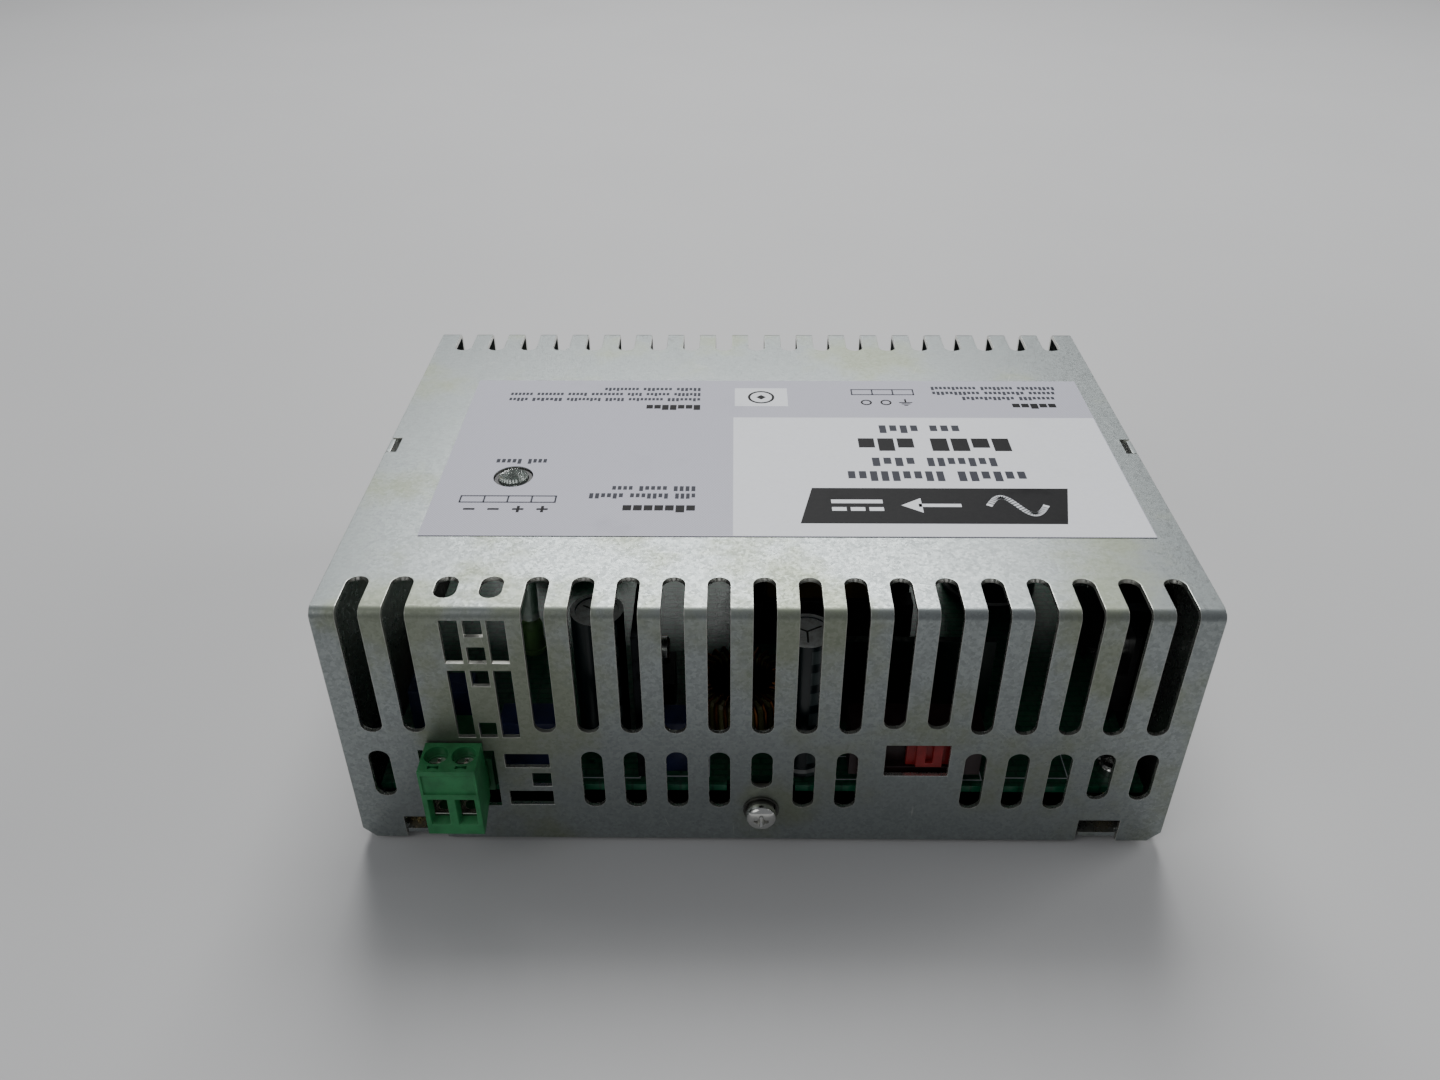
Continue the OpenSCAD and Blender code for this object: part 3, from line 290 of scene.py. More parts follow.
class EffectLibrary:
    """Builds each shared effect once, as a group with named sockets."""

    def __init__(self) -> None:
        """Start with no groups."""
        self.made: dict[Effect, bpy.types.NodeTree] = {}

    def tree(self, effect: Effect) -> bpy.types.NodeTree:
        """Give the group of an effect, made on first use."""
        if effect not in self.made:
            build = {
                Effect.SPANGLE: self._spangle,
                Effect.STAIN: self._stain,
                Effect.SCRATCH: self._scratch,
                Effect.GRAIN: self._grain,
                Effect.DUST: self._dust,
                Effect.EDGE_HIGHLIGHT: self._edge_highlight,
                Effect.INSIDE_SHADE: self._inside_shade,
            }[effect]
            self.made[effect] = build(effect.value)
        return self.made[effect]

    @staticmethod
    def _start(
        name: str, inputs: dict[str, float], outputs: Sequence[str]
    ) -> tuple[NodeDesk, bpy.types.Node, bpy.types.Node]:
        """Make an empty group.

        Args:
            name: The group's name.
            inputs: Names and first values of its inputs.
            outputs: Names of its outputs.

        Returns:
            A desk on the group, and its input and output nodes.
        """
        tree = bpy.data.node_groups.new(name, "ShaderNodeTree")
        for label, value in inputs.items():
            socket = tree.interface.new_socket(label, in_out="INPUT", socket_type="NodeSocketFloat")
            socket.default_value = value
        for label in outputs:
            tree.interface.new_socket(label, in_out="OUTPUT", socket_type="NodeSocketFloat")
        desk = NodeDesk(tree)
        return desk, desk.node("NodeGroupInput"), desk.node("NodeGroupOutput")

    def _spangle(self, name: str) -> bpy.types.NodeTree:
        """Mottled grain of a zinc coat: small cells of slightly different tone."""
        desk, inlet, outlet = self._start(name, {"Cell Size": 1.0, "Contrast": 0.5}, ("Mask", "Height"))
        place = desk.place()
        bent = desk.node("ShaderNodeVectorMath", operation="ADD")
        wobble = desk.node("ShaderNodeTexNoise")
        desk.feed(wobble.inputs["Vector"], place)
        wobble.inputs["Scale"].default_value = 1.6
        desk.feed(bent.inputs[0], place)
        desk.feed(bent.inputs[1], wobble.outputs["Color"])
        cell = desk.node("ShaderNodeTexVoronoi")
        desk.feed(cell.inputs["Vector"], bent.outputs[0])
        desk.feed(cell.inputs["Scale"], desk.math("DIVIDE", 1.0, inlet.outputs["Cell Size"]))
        tone = desk.axes(cell.outputs["Color"])[0]
        fine = desk.noise(place, 2.6, 4.0, 0.7)
        both = desk.math("ADD", desk.math("MULTIPLY", tone, 0.45), desk.math("MULTIPLY", fine, 0.55))
        spread = desk.math("MULTIPLY", desk.math("SUBTRACT", both, 0.5), inlet.outputs["Contrast"])
        desk.feed(outlet.inputs["Mask"], desk.math("ADD", spread, 0.5, clamp=True))
        desk.feed(outlet.inputs["Height"], fine)
        return desk.tree

    def _stain(self, name: str) -> bpy.types.NodeTree:
        """Cloudy marks left by hands and storage."""
        desk, inlet, outlet = self._start(name, {"Patch Size": 30.0, "Coverage": 0.4}, ("Mask",))
        place = desk.place()
        broad = desk.noise(place, desk.math("DIVIDE", 1.0, inlet.outputs["Patch Size"]), 6.0, 0.62)
        low = desk.math("SUBTRACT", 0.72, desk.math("MULTIPLY", inlet.outputs["Coverage"], 0.4))
        desk.feed(outlet.inputs["Mask"], desk.span(broad, low, desk.math("ADD", low, 0.16)))
        return desk.tree

    def _scratch(self, name: str) -> bpy.types.NodeTree:
        """Sparse hairlines in several directions."""
        desk, inlet, outlet = self._start(name, {"Density": 0.5}, ("Mask",))
        lines = 0.0
        for turn, shift in ((18.0, 0.0), (-35.0, 7.0), (74.0, 13.0), (122.0, 29.0)):
            place = desk.place((0.05, 2.8, 0.06), (shift, shift, turn))
            line = desk.noise(place, 1.0, 1.0)
            low = desk.math("SUBTRACT", 0.83, desk.math("MULTIPLY", inlet.outputs["Density"], 0.12))
            lines = desk.math("MAXIMUM", lines, desk.span(line, low, desk.math("ADD", low, 0.05)))
        desk.feed(outlet.inputs["Mask"], lines)
        return desk.tree

    def _grain(self, name: str) -> bpy.types.NodeTree:
        """Fine texture of a moulded surface, with a broad change of tone."""
        desk, inlet, outlet = self._start(name, {"Grain Size": 0.2}, ("Height", "Tone"))
        place = desk.place()
        fine = desk.noise(place, desk.math("DIVIDE", 1.0, inlet.outputs["Grain Size"]), 3.0, 0.6)
        desk.feed(outlet.inputs["Height"], fine)
        desk.feed(outlet.inputs["Tone"], desk.noise(place, 0.22, 4.0, 0.6))
        return desk.tree

    def _dust(self, name: str) -> bpy.types.NodeTree:
        """Dust on what faces up."""
        desk, inlet, outlet = self._start(name, {"Amount": 0.3}, ("Mask",))
        up = desk.span(desk.normal()[2], 0.5, 0.95)
        specks = desk.noise(desk.place(), 0.9, 7.0, 0.75)
        lying = desk.math("MULTIPLY", up, desk.span(specks, 0.38, 0.72))
        desk.feed(outlet.inputs["Mask"], desk.math("MULTIPLY", lying, inlet.outputs["Amount"]))
        return desk.tree

    def _edge_highlight(self, name: str) -> bpy.types.NodeTree:
        """Mask of the painted highlight on the punched edges of the folded sheet: what doesn't face out or
        in.
        """
        desk, inlet, outlet = self._start(name, {"Fold Height": 53.0, "Half Depth": 55.0}, ("Mask",))
        normal_x, normal_y, normal_z = (desk.math("ABSOLUTE", n) for n in desk.normal())
        _, place_y, place_z = desk.axes(desk.place())
        inside = desk.math("LESS_THAN", desk.math("ABSOLUTE", place_y), inlet.outputs["Half Depth"])
        below = desk.math("LESS_THAN", place_z, inlet.outputs["Fold Height"])
        sides = desk.span(normal_x, 0.2, 0.6)
        ends = desk.math("MULTIPLY", desk.span(normal_z, 0.3, 0.7), below)
        tops = desk.math("MULTIPLY", desk.span(normal_y, 0.3, 0.7), inside)
        desk.feed(outlet.inputs["Mask"], desk.math("MAXIMUM", sides, desk.math("MAXIMUM", ends, tops)))
        return desk.tree

    def _inside_shade(self, name: str) -> bpy.types.NodeTree:
        """Mask of the hollow of the case, where the sheet's finish gets painted shade."""
        sizes = {"Half Width": 77.45, "Near": -54.0, "Far": 55.98, "Floor": 0.95, "Ceiling": 54.28}
        desk, inlet, outlet = self._start(name, sizes, ("Mask",))
        place_x, place_y, place_z = desk.axes(desk.place())
        across = desk.math("LESS_THAN", desk.math("ABSOLUTE", place_x), inlet.outputs["Half Width"])
        before = desk.math("LESS_THAN", place_y, inlet.outputs["Far"])
        behind = desk.math("GREATER_THAN", place_y, inlet.outputs["Near"])
        along = desk.math("MULTIPLY", before, behind)
        above = desk.math("GREATER_THAN", place_z, inlet.outputs["Floor"])
        under = desk.math("LESS_THAN", place_z, inlet.outputs["Ceiling"])
        flat = desk.math("MULTIPLY", across, along)
        desk.feed(outlet.inputs["Mask"], desk.math("MULTIPLY", flat, desk.math("MULTIPLY", above, under)))
        return desk.tree


effects = EffectLibrary()
dressed: dict[str, bpy.types.Material] = {}

# Near-black colour of the painted shade inside the case.
INSIDE_PAINTED_SHADE: Colour = (0.004, 0.004, 0.004)
SCUFF: Colour = (0.5, 0.5, 0.48)
DUST: Colour = (0.36, 0.34, 0.3)
FILM_DUST: Colour = (0.4, 0.38, 0.34)
BOARD_DUST: Colour = (0.3, 0.3, 0.27)
CAN_DUST: Colour = (0.33, 0.31, 0.28)
BARE_CAN: Colour = (0.86, 0.88, 0.86)


# ---------------------------------------------------------------- finishes


@dataclass(frozen=True)
class Finish:
    """What every finish has: a name and a way to make its material.

    Attributes:
        name: The material's name.
    """

    name: str

    def dress(self, desk: NodeDesk, surface: bpy.types.Node) -> None:
        """Wire the surface shader; each kind of finish has its own."""
        raise NotImplementedError

    def material(self) -> bpy.types.Material:
        """Give the material, made on first use.

        Returns:
            The material of this finish.
        """
        if self.name in dressed:
            return dressed[self.name]
        made = bpy.data.materials.new(self.name + "_finish")
        dressed[self.name] = made
        made.use_nodes = True
        tree = made.node_tree
        tree.nodes.clear()
        desk = NodeDesk(tree)
        surface = desk.node("ShaderNodeBsdfPrincipled")
        self.dress(desk, surface)
        output = desk.node("ShaderNodeOutputMaterial")
        desk.feed(output.inputs["Surface"], surface.outputs[0])
        return made

    @staticmethod
    def bump(desk: NodeDesk, surface: bpy.types.Node, height: object, strength: float, depth: float) -> None:
        """Raise the surface a little.

        Args:
            desk: The desk of the material.
            surface: Its surface shader.
            height: Height from 0 to 1.
            strength: Share of the effect.
            depth: Full height in millimetres.
        """
        made = desk.node("ShaderNodeBump")
        made.inputs["Strength"].default_value = strength
        made.inputs["Distance"].default_value = depth * MM
        desk.feed(made.inputs["Height"], height)
        desk.feed(surface.inputs["Normal"], made.outputs[0])


@dataclass(frozen=True)
class ZincSheet(Finish):
    """Zinc-plated sheet with a yellowish passivated coat.

    Attributes:
        light: Bright tone of the coat.
        dark: Dark tone of the coat.
        tinge: Warm tone of the stains.
        rough: Middle roughness.
        cell: Size of the coat's cells.
        stain: Share of the surface with stains.
        cut: Colour of the scratches, and of the painted highlight on the punched edges.
        edges: Strength of the painted highlight on the punched edges.
        metal: How metallic the coat is.
    """

    light: Colour = shade(162, 168, 167)
    dark: Colour = shade(128, 134, 134)
    tinge: Colour = shade(134, 140, 110)
    rough: float = 0.38
    cell: float = 0.6
    stain: float = 0.6
    # Near-white colour of the scratches and of the painted highlight on the punched edges.
    cut: Colour = shade(226, 226, 218)
    edges: float = 0.75
    metal: float = 0.92

    def dress(self, desk: NodeDesk, surface: bpy.types.Node) -> None:
        """Mix grain, stains, scratches, a painted highlight on the punched edges and painted shade inside the
        case.
        """
        spangle = desk.effect(Effect.SPANGLE, Cell_Size=self.cell, Contrast=1.1)
        broad = desk.effect(Effect.STAIN, Patch_Size=34.0, Coverage=self.stain)
        small = desk.effect(Effect.STAIN, Patch_Size=7.0, Coverage=self.stain * 0.55)
        scratch = desk.effect(Effect.SCRATCH, Density=0.35)
        # Painted highlight: the punched edges and slot walls are mixed towards near-white.
        edge = desk.effect(Effect.EDGE_HIGHLIGHT)
        coat = desk.mix(spangle.outputs["Mask"], self.dark, self.light)
        stained = desk.mix(desk.math("MULTIPLY", broad.outputs["Mask"], 0.55), coat, self.tinge)
        spotted = desk.mix(desk.math("MULTIPLY", small.outputs["Mask"], 0.3), stained, self.dark)
        lined = desk.mix(desk.math("MULTIPLY", scratch.outputs["Mask"], 0.35), spotted, self.cut)
        edge_highlit = desk.mix(desk.math("MULTIPLY", edge.outputs["Mask"], self.edges), lined, self.cut)
        # Painted shade: inside the case the sheet is mixed towards near-black.
        inside = desk.effect(Effect.INSIDE_SHADE)
        shaded = desk.mix(desk.math("MULTIPLY", inside.outputs["Mask"], 0.93), edge_highlit, INSIDE_PAINTED_SHADE)
        desk.feed(surface.inputs["Base Color"], shaded)
        grain = desk.math("MULTIPLY", desk.math("SUBTRACT", 0.5, spangle.outputs["Mask"]), 0.3)
        worn = desk.math("MULTIPLY", broad.outputs["Mask"], 0.1)
        rough = desk.math("ADD", desk.math("ADD", grain, worn), self.rough)
        sharp = desk.math("MULTIPLY", edge.outputs["Mask"], 0.12)
        desk.feed(surface.inputs["Roughness"], desk.math("SUBTRACT", rough, sharp, clamp=True))
        # Painted shade: the sheet loses its metal sheen inside the case.
        outside = desk.math("SUBTRACT", 1.0, inside.outputs["Mask"])
        desk.feed(surface.inputs["Metallic"], desk.math("MULTIPLY", outside, self.metal))
        cuts = desk.math("MULTIPLY", scratch.outputs["Mask"], 0.5)
        height = desk.math("SUBTRACT", spangle.outputs["Height"], cuts)
        self.bump(desk, surface, height, 0.22, 0.05)


@dataclass(frozen=True)
class BrightMetal(Finish):
    """Plated or bare metal of screws, pins, clamps and cans.

    Attributes:
        colour: Colour of the metal.
        rough: Middle roughness.
        grime: Share of dull marks.
    """

    colour: Colour = shade(205, 204, 198)
    rough: float = 0.25
    grime: float = 0.3

    def dress(self, desk: NodeDesk, surface: bpy.types.Node) -> None:
        """Mix dull marks and fine brushing into clean metal."""
        marks = desk.effect(Effect.STAIN, Patch_Size=2.2, Coverage=self.grime)
        grain = desk.effect(Effect.GRAIN, Grain_Size=0.12)
        scratch = desk.effect(Effect.SCRATCH, Density=0.6)
        dull = dimmed(self.colour, 0.45)
        tone = desk.mix(desk.math("MULTIPLY", marks.outputs["Mask"], 0.6), self.colour, dull)
        toned = desk.mix(desk.math("MULTIPLY", grain.outputs["Tone"], 0.25), tone, dull)
        desk.feed(surface.inputs["Base Color"], toned)
        worn = desk.math("MULTIPLY", marks.outputs["Mask"], 0.25)
        lined = desk.math("MULTIPLY", scratch.outputs["Mask"], 0.15)
        rough = desk.math("ADD", desk.math("ADD", worn, lined), self.rough, clamp=True)
        desk.feed(surface.inputs["Roughness"], rough)
        surface.inputs["Metallic"].default_value = 1.0
        self.bump(desk, surface, grain.outputs["Height"], 0.15, 0.02)


@dataclass(frozen=True)
class Moulding(Finish):
    """Moulded plastic with fine grain, faint tone changes and dust.

    Attributes:
        colour: Colour of the plastic.
        rough: Middle roughness.
        grain: Size of its grain.
        dust: Amount of dust on what faces up.
        glow: Light that passes through thin walls.
    """

    colour: Colour = (0.02, 0.02, 0.02)
    rough: float = 0.42
    grain: float = 0.18
    dust: float = 0.2
    glow: float = 0.0

    def dress(self, desk: NodeDesk, surface: bpy.types.Node) -> None:
        """Mix tone, grain and dust."""
        grain = desk.effect(Effect.GRAIN, Grain_Size=self.grain)
        dust = desk.effect(Effect.DUST, Amount=self.dust)
        scratch = desk.effect(Effect.SCRATCH, Density=0.5)
        deep = dimmed(self.colour, 0.72)
        pale = tuple(min(1.0, c * 1.18 + 0.01) for c in self.colour)
        tone = desk.mix(desk.span(grain.outputs["Tone"], 0.3, 0.7), deep, pale)
        scuffed = desk.mix(desk.math("MULTIPLY", scratch.outputs["Mask"], 0.18), tone, SCUFF)
        dusty = desk.mix(dust.outputs["Mask"], scuffed, DUST)
        desk.feed(surface.inputs["Base Color"], dusty)
        uneven = desk.math("MULTIPLY", desk.math("SUBTRACT", grain.outputs["Height"], 0.5), 0.2)
        dull = desk.math("MULTIPLY", dust.outputs["Mask"], 0.4)
        rough = desk.math("ADD", desk.math("ADD", uneven, dull), self.rough, clamp=True)
        desk.feed(surface.inputs["Roughness"], rough)
        if self.glow:
            surface.inputs["Subsurface Weight"].default_value = self.glow
            surface.inputs["Subsurface Scale"].default_value = 0.6 * MM
        self.bump(desk, surface, grain.outputs["Height"], 0.25, 0.03)


@dataclass(frozen=True)
class ClearMoulding(Finish):
    """Clear plastic or glass with a faint tint.

    Attributes:
        tint: Colour of the clear body.
        rough: Roughness of its skin.
        milk: Share that scatters instead of passing light.
    """

    tint: Colour = (0.9, 0.95, 0.9)
    rough: float = 0.06
    milk: float = 0.0

    def dress(self, desk: NodeDesk, surface: bpy.types.Node) -> None:
        """Set a clear body with a slightly uneven skin."""
        grain = desk.effect(Effect.GRAIN, Grain_Size=0.5)
        smears = desk.effect(Effect.STAIN, Patch_Size=1.6, Coverage=0.4)
        cloudy = dimmed(self.tint, 0.8)
        desk.feed(surface.inputs["Base Color"], desk.mix(smears.outputs["Mask"], self.tint, cloudy))
        skin = desk.math("MULTIPLY", smears.outputs["Mask"], 0.12)
        desk.feed(surface.inputs["Roughness"], desk.math("ADD", skin, self.rough))
        surface.inputs["Transmission Weight"].default_value = 1.0 - self.milk
        surface.inputs["IOR"].default_value = 1.49
        surface.inputs["Metallic"].default_value = 0.0
        self.bump(desk, surface, grain.outputs["Height"], 0.08, 0.02)


@dataclass(frozen=True)
class PrintedFilm(Finish):
    """Satin label film or its ink, with a fine dot screen.

    Attributes:
        colour: Colour between the dots.
        dot: Colour of the dots.
        screen: Strength of the dots.
        rough: Middle roughness.
        gloss: Strength of its mirror reflection.
        dust: Amount of dust on it.
    """

    colour: Colour = (0.7, 0.7, 0.72)
    dot: Colour = (0.5, 0.5, 0.6)
    screen: float = 0.0
    rough: float = 0.42
    gloss: float = 0.25
    dust: float = 0.08

    def dress(self, desk: NodeDesk, surface: bpy.types.Node) -> None:
        """Mix the dot screen, rubbed marks and dust."""
        dots = desk.node("ShaderNodeTexVoronoi")
        desk.feed(dots.inputs["Vector"], desk.place((2.4, 2.4, 0.0), (0.0, 0.0, 45.0)))
        dots.inputs["Randomness"].default_value = 0.0
        dots.inputs["Scale"].default_value = 1.0
        spot = desk.span(dots.outputs["Distance"], 0.42, 0.3)
        rub = desk.effect(Effect.STAIN, Patch_Size=16.0, Coverage=0.35)
        scratch = desk.effect(Effect.SCRATCH, Density=0.3)
        dust = desk.effect(Effect.DUST, Amount=self.dust)
        inked = desk.mix(desk.math("MULTIPLY", spot, self.screen), self.colour, self.dot)
        rubbed = desk.mix(desk.math("MULTIPLY", rub.outputs["Mask"], 0.1), inked, dimmed(self.colour, 0.7))
        dusty = desk.mix(dust.outputs["Mask"], rubbed, FILM_DUST)
        desk.feed(surface.inputs["Base Color"], dusty)
        worn = desk.math("MULTIPLY", rub.outputs["Mask"], 0.12)
        lined = desk.math("MULTIPLY", scratch.outputs["Mask"], 0.15)
        desk.feed(surface.inputs["Roughness"], desk.math("ADD", desk.math("ADD", worn, lined), self.rough))
        surface.inputs["Specular IOR Level"].default_value = self.gloss
        self.bump(desk, surface, desk.noise(desk.place(), 3.0, 2.0), 0.06, 0.02)


@dataclass(frozen=True)
class Laminate(Finish):
    """Circuit board: solder mask over tracks and a glass weave.

    Attributes:
        mask: Colour of the mask over bare laminate.
        track: Colour of the mask over copper.
    """

    mask: Colour = shade(8, 74, 52)
    track: Colour = shade(14, 98, 68)

    def dress(self, desk: NodeDesk, surface: bpy.types.Node) -> None:
        """Mix tracks, weave and dust."""
        tracks = desk.node("ShaderNodeTexBrick", offset=0.37, squash=1.6)
        desk.feed(tracks.inputs["Vector"], desk.place((0.16, 0.16, 0.0)))
        tracks.inputs["Mortar Size"].default_value = 0.04
        tracks.inputs["Scale"].default_value = 1.0
        copper = desk.span(tracks.outputs["Fac"], 0.4, 0.6)
        grain = desk.effect(Effect.GRAIN, Grain_Size=0.3)
        dust = desk.effect(Effect.DUST, Amount=0.25)
        board = desk.mix(copper, self.track, self.mask)
        toned = desk.mix(desk.math("MULTIPLY", grain.outputs["Tone"], 0.3), board, dimmed(self.mask, 0.6))
        desk.feed(surface.inputs["Base Color"], desk.mix(dust.outputs["Mask"], toned, BOARD_DUST))
        dull = desk.math("MULTIPLY", dust.outputs["Mask"], 0.4)
        desk.feed(surface.inputs["Roughness"], desk.math("ADD", dull, 0.28))
        weave = desk.math("MULTIPLY", grain.outputs["Height"], 0.3)
        height = desk.math("ADD", desk.math("MULTIPLY", copper, -0.6), weave)
        self.bump(desk, surface, height, 0.4, 0.04)


@dataclass(frozen=True)
class SleevedCan(Finish):
    """Aluminium can in a printed shrink sleeve; its top is bare.

    Attributes:
        sleeve: Colour of the sleeve.
        mark: Colour of its polarity stripe.
        stripe: Period of the stripe marks along the can.
    """

    sleeve: Colour = (0.02, 0.03, 0.1)
    mark: Colour = (0.5, 0.52, 0.55)
    stripe: float = 5.0

    def dress(self, desk: NodeDesk, surface: bpy.types.Node) -> None:
        """Mix sleeve, stripe and bare metal by where the surface faces."""
        normal_x, normal_y, normal_z = desk.normal()
        top = desk.span(normal_z, 0.6, 0.9)
        across = desk.math("MULTIPLY", normal_x, 0.5)
        facing = desk.math("ADD", across, desk.math("MULTIPLY", normal_y, -0.86))
        band = desk.span(facing, 0.9, 0.96)
        high = desk.axes(desk.place())[2]
        dash = desk.math("LESS_THAN", desk.math("FRACT", desk.math("DIVIDE", high, self.stripe)), 0.6)
        marked = desk.math("MULTIPLY", band, dash)
        grain = desk.effect(Effect.GRAIN, Grain_Size=0.4)
        dust = desk.effect(Effect.DUST, Amount=0.5)
        sleeve = desk.mix(marked, self.sleeve, self.mark)
        can = desk.mix(top, sleeve, BARE_CAN)
        desk.feed(surface.inputs["Base Color"], desk.mix(dust.outputs["Mask"], can, CAN_DUST))
        desk.feed(surface.inputs["Metallic"], desk.math("MULTIPLY", top, 0.6))
        uneven = desk.math("MULTIPLY", grain.outputs["Tone"], 0.1)
        desk.feed(surface.inputs["Roughness"], desk.math("ADD", uneven, 0.25))
        self.bump(desk, surface, grain.outputs["Height"], 0.15, 0.03)


@dataclass(frozen=True)
class PaleFloor(Finish):
    """Plain pale floor with the faintest unevenness.

    Attributes:
        colour: Colour of the floor.
    """

    colour: Colour = (0.56, 0.56, 0.56)

    def dress(self, desk: NodeDesk, surface: bpy.types.Node) -> None:
        """Give the floor a soft, even surface."""
        tone = desk.noise(desk.place(), 0.01, 3.0)
        desk.feed(surface.inputs["Base Color"], desk.mix(tone, self.colour, dimmed(self.colour, 0.94)))
        surface.inputs["Roughness"].default_value = 0.5


ZINC = ZincSheet("zinc_sheet")
CHASSIS_ZINC = ZincSheet("chassis_zinc", rough=0.44, stain=0.55, edges=0.4)
CLIP_ZINC = ZincSheet("clip_zinc", rough=0.36, stain=0.3, edges=0.0)
SCREW_STEEL = BrightMetal("screw_steel", shade(214, 214, 210), 0.17, 0.25)
WASHER_STEEL = BrightMetal("washer_steel", shade(104, 104, 100), 0.3, 0.4)
SPRING_STEEL = BrightMetal("spring_steel", shade(110, 108, 104), 0.32, 0.4)
CLAMP_STEEL = BrightMetal("clamp_steel", shade(226, 225, 218), 0.24, 0.3)
TINNED = BrightMetal("tinned_copper", shade(206, 204, 196), 0.22, 0.2)
BRASS = BrightMetal("nickelled_brass", shade(196, 172, 112), 0.26, 0.35)
# Heat-sink metal darkened to near-black: painted shade inside the case.
SINK_PAINTED_SHADE = BrightMetal("sink_metal_painted_shade", shade(34, 36, 38), 0.45, 0.5)
TERMINAL_GREEN = Moulding("terminal_green", shade(38, 124, 72), 0.4, 0.16, 0.06, 0.05)
HEADER_GREEN = Moulding("header_green", shade(26, 92, 52), 0.42, 0.16, 0.05)
BLACK = Moulding("black_moulding", (0.01, 0.01, 0.011), 0.42, 0.2, 0.04)
# Red selector body darkened to near-black: painted shade.
SELECTOR_PAINTED_SHADE = Moulding("selector_red_painted_shade", shade(30, 5, 7), 0.4, 0.2, 0.0)
SELECTOR_RED = Moulding("selector_red", shade(132, 16, 18), 0.32, 0.25, 0.0)
FERRITE = Moulding("ferrite", (0.015, 0.015, 0.017), 0.55, 0.35, 0.05)
TAPE_YELLOW = Moulding("winding_tape", shade(92, 74, 24), 0.3, 0.6, 0.2)
BOX_YELLOW = Moulding("yellow_box", shade(196, 160, 92), 0.45, 0.3, 0.4)
# The boxes' own blue, darkened as painted shade inside the case.
BOX_BLUE_PAINTED_SHADE = Moulding("blue_box_painted_shade", shade(10, 26, 74), 0.4, 0.3, 0.02)
LACQUER_BLUE = Moulding("lacquer_blue", shade(28, 74, 150), 0.25, 0.8, 0.3)
# Green lacquer darkened to near-black: painted shade inside the case.
LACQUER_GREEN_PAINTED_SHADE = Moulding("lacquer_green_painted_shade", shade(10, 22, 14), 0.4, 0.8, 0.05)
# Insulating film darkened to near-black: painted shade inside the case.
SHEET_FILM_PAINTED_SHADE = Moulding("insulating_film_painted_shade", shade(20, 20, 17), 0.4, 1.2, 0.02)
OLIVE_CORE = Moulding("olive_core", shade(98, 98, 52), 0.5, 0.4, 0.3)
COPPER = BrightMetal("enamelled_copper", shade(112, 70, 38), 0.3, 0.4)
LENS = ClearMoulding("clear_lens", (0.82, 0.9, 0.84), 0.05, 0.12)
LED_GREEN = ClearMoulding("led_lens", (0.32, 0.62, 0.22), 0.12, 0.55)
FUSE_GLASS = ClearMoulding("fuse_glass", (0.93, 0.95, 0.93), 0.03, 0.0)
LAVENDER = PrintedFilm("label_lavender", shade(196, 196, 206), shade(168, 168, 184), 0.8)
WHITE = PrintedFilm("label_white", shade(232, 234, 238), shade(225, 226, 232), 0.0)
INK_BLACK = PrintedFilm("label_black_ink", (0.008, 0.008, 0.009), (0.008, 0.008, 0.009), 0.0, 0.5, 0.1, 0.01)
INK_GREY = PrintedFilm("label_grey_ink", shade(60, 62, 70), shade(60, 62, 70), 0.0, 0.5, 0.1, 0.01)
BOARD = Laminate("solder_mask")
# Darker copy of the solder mask: painted shade on the standing board inside the case.
BOARD_PAINTED_SHADE = Laminate("standing_board_mask_painted_shade", shade(3, 20, 15), shade(5, 27, 20))
TEAL_CAN = SleevedCan("teal_can", shade(5, 22, 26), shade(70, 80, 80))
NAVY_CAN = SleevedCan("navy_can", shade(9, 12, 30), shade(96, 98, 104), 7.0)
FLOOR = PaleFloor("pale_floor")


# ---------------------------------------------------------------- shapes


